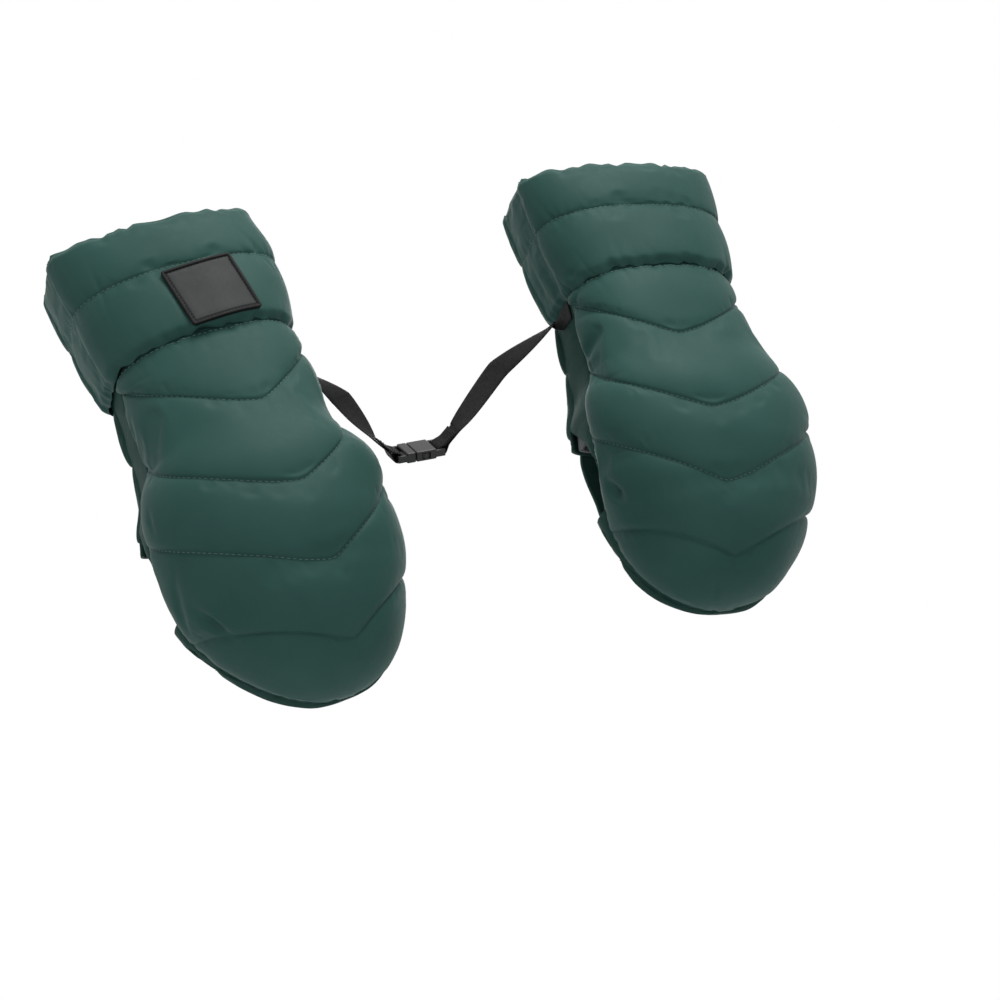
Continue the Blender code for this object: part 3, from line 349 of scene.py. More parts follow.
def waved(grid, normal, seed, height=0.4 * MM, scale=38 * MM):
    """Broad, shallow unevenness, so that no channel is perfectly even."""
    rng = np.random.default_rng(seed)
    move = np.zeros(grid.shape[:2])
    for _ in range(10):
        way = unit(rng.normal(size=3))
        phase = rng.uniform(0, 2 * math.pi)
        move += np.sin((grid @ way) / (scale * rng.uniform(0.12, 0.4)) + phase)
    return grid + normal * (move * height / 4)[..., None]


def dented(grid, normal, dents):
    """Soft folds: each is (centre, direction, half length, half width, depth) in millimetres."""
    move = np.zeros(grid.shape[:2])
    for centre, way, long, wide, deep in dents:
        way = unit(np.array(way, float))
        far = np.linalg.norm(grid - np.array(centre) * MM, axis=-1)
        off = grid - grid[np.unravel_index(np.argmin(far), far.shape)]
        along = off @ way
        side = np.linalg.norm(off - along[..., None] * way, axis=-1)
        move -= deep * MM * np.exp(-((along / (long * MM)) ** 2) - (side / (wide * MM)) ** 2)
    return grid + normal * move[..., None]


# Procedural materials


def link(tree, out, into):
    tree.links.new(out, into)


def node(tree, kind, **values):
    made = tree.nodes.new(kind)
    for key, value in values.items():
        if key in made.inputs:
            made.inputs[key].default_value = value
        else:
            setattr(made, key, value)
    return made


def linear(colour):
    return (*(((c / 255 + 0.055) / 1.055) ** 2.4 for c in colour), 1)


def blank(name, roughness, **shader_values):
    material = bpy.data.materials.new(name)
    material.use_nodes = True
    tree = material.node_tree
    shader = tree.nodes["Principled BSDF"]
    shader.inputs["Roughness"].default_value = roughness
    for key, value in shader_values.items():
        shader.inputs[key.replace("_", " ")].default_value = value
    return material, tree, shader


def mottled(tree, shader, dark, light, scale, detail):
    """Base colour between two shades by a noise of a given scale. Returns the place's output."""
    place = node(tree, "ShaderNodeTexCoord")
    noise = node(tree, "ShaderNodeTexNoise", Scale=scale, Detail=detail)
    ramp = node(tree, "ShaderNodeValToRGB")
    for stop, position, colour in zip(ramp.color_ramp.elements, (0.35, 0.65), (dark, light)):
        stop.position, stop.color = position, linear(colour)
    link(tree, place.outputs["Object"], noise.inputs["Vector"])
    link(tree, noise.outputs["Fac"], ramp.inputs["Fac"])
    link(tree, ramp.outputs["Color"], shader.inputs["Base Color"])
    return place.outputs["Object"]


def bumped(tree, shader, height, strength, distance):
    bump = node(tree, "ShaderNodeBump", Strength=strength, Distance=distance)
    link(tree, height, bump.inputs["Height"])
    link(tree, bump.outputs["Normal"], shader.inputs["Normal"])


def threads(tree, vector, scales, **values):
    """Heights of two crossed sets of threads, from (direction, scale) pairs."""
    heights = []
    for way, scale in scales:
        wave = node(tree, "ShaderNodeTexWave", Scale=scale, **values)
        wave.bands_direction = way
        link(tree, vector, wave.inputs["Vector"])
        heights.append(wave.outputs["Fac"])
    return heights


def roughened(tree, shader, noise, low, high):
    """Roughness between two values by a noise."""
    spread = node(tree, "ShaderNodeMapRange")
    spread.inputs["To Min"].default_value = low
    spread.inputs["To Max"].default_value = high
    link(tree, noise.outputs["Fac"], spread.inputs["Value"])
    link(tree, spread.outputs["Result"], shader.inputs["Roughness"])


def combined(tree, operation, first, second, slot, factor=None):
    """Two heights in one math node, the second at an input slot."""
    both = node(tree, "ShaderNodeMath", operation=operation)
    if factor is not None:
        both.inputs[1].default_value = factor
    link(tree, first, both.inputs[0])
    link(tree, second, both.inputs[slot])
    return both.outputs["Value"]


def nylon(name, dark, light, roughness=0.52, sheen=0.015, shine=0.13):
    material, tree, shader = blank(
        name, roughness, Sheen_Weight=sheen, Sheen_Roughness=0.45, Specular_IOR_Level=shine
    )
    place = mottled(tree, shader, dark, light, 14.0, 4.0)
    soft = node(tree, "ShaderNodeTexNoise", Scale=260.0, Detail=2.0)
    link(tree, place, soft.inputs["Vector"])
    weave = threads(tree, place, (("X", 1400.0), ("Z", 1400.0)), Distortion=0.6, Detail=1.0)
    weave = combined(tree, "MULTIPLY", *weave, 1)
    total = combined(tree, "MULTIPLY_ADD", weave, soft.outputs["Fac"], 2, 0.35)
    bumped(tree, shader, total, 0.25, 0.00025)
    roughened(tree, shader, soft, roughness - 0.05, roughness + 0.07)
    return material


def fleece():
    material, tree, shader = blank("fleece", 0.95, Sheen_Weight=0.4, Sheen_Roughness=0.6)
    place = mottled(tree, shader, (92, 96, 95), (116, 120, 118), 180.0, 4.0)
    curls = node(tree, "ShaderNodeTexVoronoi", Scale=420.0)
    link(tree, place, curls.inputs["Vector"])
    bumped(tree, shader, curls.outputs["Distance"], 0.7, 0.0012)
    return material


def webbing():
    """Ribbed polyester webbing, from the ribbon's own lengthwise and crosswise coordinates."""
    material, tree, shader = blank("webbing", 0.66, Specular_IOR_Level=0.15)
    mottled(tree, shader, (18, 18, 19), (28, 28, 29), 300.0, 2.0)
    chart = node(tree, "ShaderNodeUVMap", uv_map="weave")
    ribs = threads(tree, chart.outputs["UV"], (("X", 420.0), ("Y", 310.0)), Distortion=0.4)
    bumped(tree, shader, combined(tree, "MULTIPLY_ADD", *ribs, 2, 0.6), 0.6, 0.0003)
    return material


def moulded(name, dark, light, roughness, grain=900.0, metallic=0.0, shine=0.5):
    material, tree, shader = blank(name, roughness, Metallic=metallic, Specular_IOR_Level=shine)
    place = mottled(tree, shader, dark, light, 60.0, 3.0)
    fine = node(tree, "ShaderNodeTexNoise", Scale=grain, Detail=2.0)
    link(tree, place, fine.inputs["Vector"])
    bumped(tree, shader, fine.outputs["Fac"], 0.3, 0.0001)
    roughened(tree, shader, fine, roughness - 0.06, roughness + 0.08)
    return material


SHELL = nylon("quilted_nylon", (48, 85, 78), (56, 93, 86))
DARK_SHELL = nylon("back_nylon", (43, 74, 67), (50, 82, 75))
GUSSET = nylon("gusset_nylon", (43, 73, 66), (50, 82, 75), 0.62, 0.0, 0.05)
THREAD = moulded("thread", (96, 124, 116), (120, 146, 138), 0.6, 2500.0)
FLEECE = fleece()
WEBBING = webbing()
PLASTIC = moulded("buckle_plastic", (30, 30, 31), (41, 41, 42), 0.4, shine=0.4)
RUBBER = moulded("badge_rubber", (46, 47, 47), (56, 57, 57), 0.62, 700.0, shine=0.25)
RUBBER_RIM = moulded("badge_rim", (12, 12, 13), (20, 20, 21), 0.55, 700.0, shine=0.15)
ELASTIC_KNIT = moulded("elastic_knit", (186, 186, 180), (214, 214, 208), 0.85, 1200.0)
BLACK_THREAD = moulded("black_thread", (24, 24, 25), (40, 40, 41), 0.6, 2500.0)
STUD_METAL = moulded("stud_metal", (150, 150, 150), (172, 172, 170), 0.3, 500.0, 1.0)


# Sewn shells

SEAM_BEND = 1.35
PUCKER_SEEDS = {"left": 3, "right": 8}
CUFF_SEEDS = {"left": (21, 5), "right": (34, 12)}
FRONT_LIFT = 1.7 * MM
MIDDLE_SWELL_MM, SIDE_SWELL_MM = 3.2, 1.9
CUFF_WALL, CUFF_SWELL, CUFF_FLARE = 3.4 * MM, 2.7 * MM, 2.5 * MM
HEM_WAVE, MOUTH_WAVE, WAVE_REACH = 0.8 * MM, 0.7 * MM, 5 * MM

# Gathers as (depth, reach)
LINE_PUCKER = 0.55 * MM, 5 * MM
WRIST_PUCKER = 1.5 * MM, 9 * MM
SIDE_PUCKER = 1.1 * MM, 7 * MM
CUFF_PUCKERS = (2.0 * MM, 8 * MM), (1.3 * MM, 7 * MM), (1.2 * MM, 6 * MM)
BACK_PUCKER = 0.7 * MM, 5 * MM


def dense(count):
    """Shares from -1 to 1, closer together towards the side seams."""
    return np.sin(np.linspace(-1, 1, count) * SEAM_BEND) / math.sin(SEAM_BEND)


def closed(grid):
    """A ring's grid with its first column again at the end."""
    return np.concatenate([grid, grid[:, :1]], 1)


def round_mitt(z, out, front, back):
    """Rows round a mitt's front and back."""
    faces = ((FRONT, front), (BACK, back))
    return np.concatenate([skin(z, turns[None] * QUARTER, out, face) for face, turns in faces], 1)


def edge_fade(turn):
    """The share of the swell that is left towards the side seams, as a row."""
    return np.maximum(1 - np.abs(turn) ** 18, 0)[None] ** 0.6


def swelled(t):
    """The padding's swell at share t of a channel, fuller towards its lower line."""
    return np.maximum(np.sin(np.pi * np.clip(t, 0, 1) ** 0.85), 0) ** 0.45


def row_shares(count):
    """Shares of a channel's height, closer together at its stitch lines."""
    u = np.linspace(0, 1, count + 1)
    return 0.4 * u + 0.3 * (1 - np.cos(np.pi * u))


def stitches(name, paths, body, slot, material, long=2.4 * MM, gap=1.3 * MM, radius=0.22 * MM):
    """Sewing thread along world paths of (points, normals): one short bowed bead a stitch."""
    points, faces = [], []
    bow = np.array([-0.15, 0.22, 0.3, 0.22, -0.15]) * MM
    sides, last = 5, len(bow) - 1
    for line, normals in paths:
        run = lengths(line[None], 1)[0]
        place = gap
        while place + long < run[-1]:
            at = place + long * np.linspace(0, 1, len(bow))
            mid = np.stack([np.interp(at, run, line[:, k]) for k in range(3)], -1)
            up = np.stack([np.interp(at, run, normals[:, k]) for k in range(3)], -1)
            mid = mid + up * bow[:, None]
            across = unit(np.cross(np.gradient(mid, axis=0), up))
            start = len(points)
            for i in range(len(bow)):
                for k in range(sides):
                    turn = 2 * math.pi * k / sides
                    off = across[i] * math.cos(turn) + up[i] * math.sin(turn)
                    points.append(tuple(mid[i] + off * radius))
            for i in range(last):
                for k in range(sides):
                    j = (k + 1) % sides
                    a, b = start + sides * i, start + sides * (i + 1)
                    faces.append((a + k, a + j, b + j, b + k))
            for first in (start, start + sides * last):
                faces.append(tuple(range(first, first + sides)))
            place += long + gap
    mesh = bpy.data.meshes.new(name)
    mesh.from_pydata(points, [], faces)
    add_piece(name, oriented(mesh), material, body, slot)


def sewn(side, name, grids, material, slot, node, ring=False, body="muff"):
    """A soft piece of an outer and an inner grid, in the place of one node of its mitt."""
    name = f"{side}_{name}"
    mesh = oriented(mesh_of(name, grids, ring))
    piece = add_piece(name, mesh, material, f"{side}_{body}", slot, f"{side}_{node}")


def topstitched(side, name, grids, rows, slot, ring=False):
    """Thread along rows of a sewn piece."""
    outer, normal = grids[0], outward(*grids, ring)
    if ring:
        outer, normal = closed(outer), closed(normal)
    paths = [(outer[row], normal[row]) for row in rows]
    stitches(f"{side}_{name}_stitches", paths, f"{side}_muff", slot, THREAD)


def line_end_folds(seed):
    """Short creases that fan out from where the stitch lines run into the side seams."""
    rng = np.random.default_rng(seed + 100)
    folds = []
    for low, rise in FRONT_LINES[1:-1]:
        for sign in (-1, 1):
            for _ in range(3):
                turn = sign * rng.uniform(0.6, 0.95)
                z = low + rise * chevron(np.array(turn)) + rng.uniform(-11, 11) * MM
                ends = []
                for step in (-1, 1):
                    height = z + step * rng.uniform(0.3, 1) * MM
                    ends.append(skin(height, (turn + 0.04 * sign * step) * QUARTER, 0, FRONT))
                spot = skin(z, turn * QUARTER, 3 * MM, FRONT) / MM
                way = ends[1] - ends[0]
                size = rng.uniform(6, 14), rng.uniform(1.6, 2.8), rng.uniform(0.3, 0.9)
                folds.append((tuple(spot), tuple(way), *size))
    return folds


def front_panel(side):
    """The padded front, from the lobe's tip up under the cuff, with chevron stitch lines."""
    turns = dense(91)
    angles = turns * QUARTER
    rise = chevron(turns)
    rows, shares, stops = [], [], []
    for channel, count in enumerate((14, 13, 16, 18, 18)):
        low, high = FRONT_LINES[channel], FRONT_LINES[channel + 1]
        t = row_shares(count)
        if channel == 0:
            t = 1 - (1 - np.linspace(0, 1, count + 1) ** 1.8) ** 1.5
        for value in t[(1 if rows else 0) :]:
            start = low[0] + low[1] * rise
            rows.append(start + (high[0] + high[1] * rise - start) * value)
            shares.append(value)
        stops.append(len(rows) - 1)
    heights = np.array(rows)
    swell = swelled(np.array(shares))[:, None] * edge_fade(turns)
    sides = eased(0.35, 0.9, np.abs(turns))[None]
    lift = FRONT_LIFT * edge_fade(turns) * (1 - 0.85 * sides)
    lift = lift * (1 - eased(stops[3], stops[4], np.arange(len(rows))))[:, None]
    inner = skin(heights, angles[None], -UNDER, FRONT)
    puff = (MIDDLE_SWELL_MM + SIDE_SWELL_MM * sides) * MM * swell
    grid = skin(heights, angles[None], lift + puff, FRONT)
    fixed = np.zeros(grid.shape[:2], bool)
    fixed[[0, *stops]] = True
    fixed[:, [0, -1]] = True
    grid = inflated(grid, inner, fixed, pressure=4.0)
    grid, inner = finer(grid, stops[:-1]), finer(inner, stops[:-1])
    stops = [2 * s for s in stops]
    seed = PUCKER_SEEDS[side]
    grid = waved(grid, outward(grid, inner), seed)
    lines = [(s, *LINE_PUCKER) for s in stops[:-1]] + [(stops[-1], *WRIST_PUCKER)]
    grid = puckered(grid, outward(grid, inner), lines, seed)
    seams = [(column, *SIDE_PUCKER) for column in (0, grid.shape[1] - 1)]
    normal = outward(grid, inner).swapaxes(0, 1)
    grid = puckered(grid.swapaxes(0, 1), normal, seams, seed + 1).swapaxes(0, 1)
    folds = [*FRONT_FOLDS[side], *line_end_folds(seed)]
    grid = dented(grid, outward(grid, inner), folds)
    grids = []
    for part, out in ((grid, 0), (inner, -UNDER)):
        tuck = halved(skin(BODY_TOP_Z, angles, out, FRONT))[None]
        grids.append(placed(np.concatenate([part, tuck]), side))
    sewn(side, "quilted_front", grids, SHELL, "quilted_cloth", "front_panel")
    topstitched(side, "front", grids, [*stops[1:-1], stops[-1] - 3], "quilted_cloth")


def ring_grid(z, out, swell, front, back, strip, flare):
    """Closed rows round a mitt: its front, inner side, back and outer side."""
    parts = []
    for face, turns in ((FRONT, front), (BACK, back)):
        puff = swell * (1.0 if face == FRONT else 0.8) * edge_fade(turns)
        part = skin(z, turns[None] * QUARTER, out + puff, face)
        share = np.copysign(np.abs(np.sin(turns * QUARTER)) ** (2 / WIDTH_POWER), turns)
        part[..., 0] += flare * np.minimum(share, 0) ** 3
        parts.append(part)
        sign = 1 if face == FRONT else -1
        depths = (front_seam(z), back_seam(z))[::sign]
        bulge = out + swell * 0.4 * np.sin(np.pi * strip)[None] ** 0.6
        x = sign * (half_width(z) + bulge) + side_shift(z) - (flare if sign < 0 else 0)
        y = depths[0] + (depths[1] - depths[0]) * strip[None]
        x, y, height = np.broadcast_arrays(x, y, z)
        parts.append(np.stack([x, y, height], -1))
    return np.concatenate(parts, 1)


def cuff(side):
    """The padded ring round the wrist, with one row of stitches and a scalloped hem."""
    front, back, strip = dense(69), -dense(45), np.linspace(0, 1, 13)[1:-1]
    rows, swells, stops = [], [], []
    for low, high, count in ((WRIST_Z, CUFF_LINE_Z, 20), (CUFF_LINE_Z, TOP_Z, 18)):
        t = row_shares(count)
        first = 1 if rows else 0
        rows += list((low + (high - low) * t)[first:])
        swells += list(swelled(t)[first:])
        stops.append(len(rows) - 1)
    z, swell = np.array(rows)[:, None], np.array(swells)[:, None]
    flare = CUFF_FLARE * (1 - eased(WRIST_Z, CUFF_LINE_Z, z))
    scallop_seed, seed = CUFF_SEEDS[side]
    rng = np.random.default_rng(scallop_seed)
    wall = CUFF_WALL * eased(WRIST_Z - 2 * MM, WRIST_Z + 6 * MM, z)
    wall = wall * (1 - 0.6 * eased(TOP_Z - 5 * MM, TOP_Z, z))
    outer = ring_grid(z, CUFF_GAP + wall, CUFF_SWELL * swell, front, back, strip, flare)
    inner = ring_grid(z, CUFF_GAP + 0 * z, 0 * z, front, back, strip, flare)
    around = lengths(np.concatenate([inner[-1], inner[-1, :1]])[None], 1)[0]
    around = around[:-1] / around[-1] * 2 * math.pi
    scallop = sum(
        np.sin(around * k + rng.uniform(0, 7)) * rng.uniform(0.3, 1) for k in (7, 13, 18, 25, 33)
    )
    share = (outer[..., 0] - side_shift(z)) / (half_width(z) + CUFF_GAP)
    corner = np.where(share > 0, CORNER_LIFTS[side][1], CORNER_LIFTS[side][0])
    corner = corner * np.clip(np.abs(share), 0, 1) ** 6 * np.exp(-(TOP_Z - z) / (20 * MM))
    lift = HEM_WAVE * scallop[None] * np.exp(-(z - WRIST_Z) / WAVE_REACH)
    lift = lift + MOUTH_WAVE * scallop[None, ::-1] * np.exp(-(TOP_Z - z) / WAVE_REACH)
    for grid in (outer, inner):
        grid[..., 2] += corner
        grid[..., 2] += lift
    corners = [0, len(front) - 1, len(front) + len(strip)]
    corners += [corners[-1] + len(back) - 1]
    fixed = np.zeros(outer.shape[:2], bool)
    fixed[[0, *stops]] = True
    fixed[:, corners] = True
    outer = inflated(outer, inner, fixed, ring=True)
    outer, inner = (finer(closed(g), stops[:1], corners[1:])[:, :-1] for g in (outer, inner))
    stops = [2 * s for s in stops]
    outer = waved(outer, outward(outer, inner, True), seed)
    lines = [(row, *size) for row, size in zip((0, *stops), CUFF_PUCKERS)]
    outer = puckered(outer, outward(outer, inner, True), lines, seed)
    outer = dented(outer, outward(outer, inner, True), CUFF_FOLDS[side])
    if side == "left":
        outer = seated(outer)
    grids = placed(outer, side), placed(inner, side)
    sewn(side, "quilted_cuff", grids, SHELL, "quilted_cloth", "cuff", ring=True)
    topstitched(side, "cuff", grids, stops[:1], "quilted_cloth", ring=True)


BADGE_X, BADGE_Z = 10.5 * MM, 160 * MM
BADGE_HALF = np.array([24.6, 23.8]) * MM
BADGE_LEAN = math.radians(4.5)
BADGE_FOOT = 6.4 * MM
BADGE_STITCH = 1.6 * MM, 0.9 * MM, 0.16 * MM
SEAT_INSET, SEAT_FADE, SEAT_SINK = 1.5 * MM, 5 * MM, 0.15 * MM
SEAT_REACH = 40 * MM
CORNER_STEPS, SIDE_STEPS = 8, 16
BADGE_EDGE_MM = (
    *((0.3, 0.0), (0.0, 0.35), (0.0, 1.9), (0.25, 2.35), (0.7, 2.55), (1.7, 2.6), (2.1, 2.4)),
    *((2.3, 1.7), (2.6, 1.6), (3.1, 1.65), (3.4, 2.05), (3.9, 2.15)),
)
BADGE_FACE = 0.85, 0.68, 0.5, 0.33, 0.17, 0.05
RIM_BANDS, GROOVE_RING = 8, 9


def leaned(flat, angle):
    """Flat points (across, up) turned about the badge's middle."""
    across, up = flat[..., 0], flat[..., 1]
    cosine, sine = math.cos(angle), math.sin(angle)
    return np.stack([across * cosine - up * sine, across * sine + up * cosine], -1)


def badge_point(x, z, out):
    away = x - side_shift(z)
    share = np.abs(away) / (half_width(z) + BADGE_FOOT)
    angle = np.arcsin(np.clip(share, 0, 1) ** (WIDTH_POWER / 2))
    return skin(z, np.copysign(angle, away), out, FRONT)


def seated(grid):
    """The cuff's cloth drawn to the badge's back where the badge is sewn on."""
    low = np.clip(grid[..., 2], CUFF_LINE_Z - 60 * MM, TOP_Z)
    off = leaned(np.stack([grid[..., 0] - BADGE_X, low - BADGE_Z], -1), -BADGE_LEAN)
    beyond = np.linalg.norm(np.maximum(np.abs(off) - BADGE_HALF + SEAT_INSET, 0), axis=-1)
    hold = (1 - eased(0, SEAT_FADE, beyond)) * (grid[..., 1] < 0)
    near = np.clip(grid[..., 0], BADGE_X - SEAT_REACH, BADGE_X + SEAT_REACH)
    target = badge_point(near, low, BADGE_FOOT - SEAT_SINK)
    return grid + (target - grid) * hold[..., None] * np.array([0, 1, 0])


def badge():
    """A soft rubber plate with a raised rim, a groove inside it and a bare face."""
    shares, ways = [], []
    for corner in range(4):
        turn = (corner + np.linspace(0, 1, CORNER_STEPS + 1)) * QUARTER
        here, there = (np.sign(np.cos((c + 0.5) * QUARTER)) for c in (corner, corner + 1))
        high, next_high = (np.sign(np.sin((c + 0.5) * QUARTER)) for c in (corner, corner + 1))
        shares += [(here, high)] * (CORNER_STEPS + 1)
        ways += list(np.stack([np.cos(turn), np.sin(turn)], -1))
        for along in np.linspace(0, 1, SIDE_STEPS + 1)[1:-1]:
            shares.append((here + (there - here) * along, high + (next_high - high) * along))
            ways.append((math.cos(turn[-1]), math.sin(turn[-1])))
    shares, ways = np.array(shares), np.array(ways)
    rings = []
    for inset, rise in BADGE_EDGE_MM:
        corner = max(2.2 - inset, 0.5) * MM
        rings.append((shares * (BADGE_HALF - inset * MM - corner) + ways * corner, rise * MM))
    rings += [(rings[-1][0] * share, rings[-1][1]) for share in BADGE_FACE]
    rings.insert(0, (rings[0][0] * 0.9, 0.0))

    def on_cuff(flat, rise):
        x, z = leaned(flat, BADGE_LEAN).T + np.array([[BADGE_X], [BADGE_Z]])
        return badge_point(x, z, BADGE_FOOT + rise)

    grid = placed(np.array([on_cuff(*ring) for ring in rings]), "left")
    count = grid.shape[1]
    mesh = oriented(mesh_of("badge", [grid], ring=True), count, (0, (len(rings) - 1) * count))
    mesh.materials.append(RUBBER)
    mesh.materials.append(RUBBER_RIM)
    for face in mesh.polygons[: RIM_BANDS * count]:
        face.material_index = 1
    add_piece("rubber_badge", mesh, RUBBER, "left_muff", "badge_rubber", "left_badge")
    line = placed(on_cuff(rings[GROOVE_RING][0], 1.65 * MM), "left")
    line = np.concatenate([line, line[:1]])
    paths = [(line, np.tile([0.0, -1.0, 0.0], (len(line), 1)))]
    stitches("badge_stitches", paths, "left_muff", "badge_rubber", RUBBER_RIM, *BADGE_STITCH)


LOBE_LINE_Z = -62 * MM
BACK_PUFF = 4 * MM
GUSSET_BULGE, SEAM_STEP = 1.6 * MM, 0.1 * MM
PIPING_RADIUS = 0.7 * MM
GUSSET_FULL_Z = 46 * MM


def back_panel(side, name, heights, lines, node, seed):
    """A quilted back with rows at the heights, padded between (low, high) lines."""
    turns = -dense(51)
    z = heights[:, None]
    swell = np.zeros_like(z)
    for low, high in lines:
        inside = (z >= low) & (z <= high)
        swell = np.where(inside, swelled((z - low) / (high - low)), swell)
    grid = skin(z, turns[None] * QUARTER, BACK_PUFF * swell * edge_fade(turns), BACK)
    inner = skin(z, turns[None] * QUARTER, -UNDER, BACK)
    stops = sorted({int(np.argmin(np.abs(heights - edge))) for line in lines for edge in line})
    stops = [s for s in stops if 0 < s < len(heights) - 1]
    fixed = np.zeros(grid.shape[:2], bool)
    fixed[[0, *stops, -1]] = True
    fixed[:, [0, -1]] = True
    grid = inflated(grid, inner, fixed)
    grid, inner = finer(grid, stops), finer(inner, stops)
    stops = [2 * s for s in stops]
    grid = waved(grid, outward(grid, inner), seed)
    grid = puckered(grid, outward(grid, inner), [(s, *BACK_PUCKER) for s in stops], seed)
    grids = placed(grid, side), placed(inner, side)
    sewn(side, name, grids, DARK_SHELL, "back_cloth", node)
    topstitched(side, name, grids, stops, "back_cloth")


def backs(side):
    """The back above the slot, padded in two channels, and the one of the lobe."""
    seed = 30 if side == "left" else 31
    lines = (HINGE_Z, BACK_LINE_Z), (BACK_LINE_Z, WRIST_Z)
    heights = [np.linspace(SLOT_Z, HINGE_Z, 5)]
    for (low, high), count in zip(lines, (18, 16)):
        heights.append(low + (high - low) * row_shares(count)[1:])
    heights = np.concatenate([*heights, [BODY_TOP_Z]])
    back_panel(side, "upper_back", heights, lines, "back_panel", seed)
    turn = np.linspace(0, 1, 19) * QUARTER
    tip = LOBE_LINE_Z + (FRONT_LINES[0][0] - LOBE_LINE_Z) * np.sin(turn)
    heights = np.concatenate([np.linspace(-SLOT_Z, LOBE_LINE_Z, 9)[:-1], tip])[::-1]
    back_panel(side, "lower_back", heights, ((TIP_Z, LOBE_LINE_Z),), "lobe_back", seed + 5)


def gathered(grid, normal, rng):
    """Short gathers that run in from both long seams of a strip."""
    run, across = lengths(grid, 0), lengths(grid, 1)
    move = np.zeros(grid.shape[:2])
    for column in (0, -1):
        place = 6 * MM
        while place < run[-1, column] - 5 * MM:
            wide = rng.uniform(1.5, 3) * MM
            deep = rng.uniform(0.2, 0.9) * MM
            long = rng.uniform(4, 12) * MM
            away = np.abs(across - across[:, [column]])
            slant = run - place - rng.uniform(-0.5, 0.5) * away
            move -= deep * np.exp(-((slant / wide) ** 2) - away / long) * (away > 0.3 * MM)
            place += rng.uniform(8, 22) * MM
    return grid + normal * move[..., None]


def piping(name, line, normal, body):
    """A thin bead of folded cloth along a seam."""
    run = lengths(line[None], 1)[0]
    across = unit(np.cross(unit(np.gradient(line, axis=0)), normal))
    turn = np.linspace(0, 2 * math.pi, 9)[:-1, None]
    ring = across[:, None] * np.cos(turn) + normal[:, None] * np.sin(turn)
    uneven = 1 + 0.12 * np.sin(run / (2.3 * MM)) + 0.08 * np.sin(run / (5.1 * MM) + 1)
    grid = line[:, None] + ring * (PIPING_RADIUS * uneven)[:, None, None]
    add_piece(name, oriented(mesh_of(name, [grid], ring=True)), GUSSET, body, "gusset_cloth")


def gusset(side, name, piped, signs, z, high, seed):
    """A strip behind the front's seam, up to the depths high, with its piping. signs and z
    follow its path, and it swells a little between its seams."""
    seed += side == "left"
    t = np.linspace(0, 1, 15)[None]
    low = front_seam(z) + SEAM_STEP
    wide = (high - low)[:, None]
    curve = np.minimum(GUSSET_BULGE, 0.12 * wide) * np.sin(np.pi * t) ** 0.5
    grids = []
    for out in (curve, -UNDER + 0 * curve):
        base = skin(z[:, None], (signs * QUARTER)[:, None], out, FRONT)
        grids.append(finer(np.stack([base[..., 0], low[:, None] + wide * t, base[..., 2]], -1)))
    grid, inner = grids
    rng = np.random.default_rng(seed)
    grid = waved(grid, outward(grid, inner), seed, 0.45 * MM, 30 * MM)
    grid = gathered(grid, outward(grid, inner), rng)
    grids = placed(grid, side), placed(inner, side)
    sewn(side, f"{name}_strip", grids, GUSSET, "gusset_cloth", name)
    line = placed(skin(z, signs * QUARTER, 0.15 * MM, FRONT), side)
    up = unit(outward(*grids)[::2, 0] + np.array([0, -0.7, 0]))
    piping(f"{side}_{piped}_piping", line, up, f"{side}_muff")


def gussets(side):
    """Two side strips from the slot up to the cuff, and one that runs round the lobe."""
    low = np.linspace(-SLOT_Z + GAP, GUSSET_FULL_Z, 45)
    z = np.unique(np.concatenate([low, np.linspace(GUSSET_FULL_Z, BODY_TOP_Z, 40)]))
    high = np.minimum(back_seam(z) - SEAM_STEP, gusset_edge(z))
    for name, sign, seed in (("outer_gusset", -1.0, 40), ("inner_gusset", 1.0, 50)):
        gusset(side, name, name, np.full(len(z), sign), z, high, seed)
    z = -SLOT_Z + (FRONT_LINES[0][0] + SLOT_Z) * np.sin(np.linspace(0, 1, 60) * QUARTER)
    z = np.concatenate([z, z[::-1]])
    signs = np.repeat([-1.0, 1.0], 60)
    gusset(side, "lobe_gusset", "lobe", signs, z, back_seam(z) - SEAM_STEP, 60)


def off_back(z, turns, lift):
    """Points a true distance off the back."""
    step = 1 * MM
    foot = skin(z, turns * QUARTER, 0, BACK)
    along = skin(z + step, turns * QUARTER, 0, BACK) - skin(z - step, turns * QUARTER, 0, BACK)
    across = skin(z, turns * QUARTER + 0.013, 0, BACK) - skin(z, turns * QUARTER - 0.013, 0, BACK)
    normal = unit(np.cross(along, across))
    normal *= np.sign(normal[..., 1:2])
    return foot + normal * np.asarray(lift)[..., None]


FLAP_TURN, BINDING = 0.6, 5 * MM


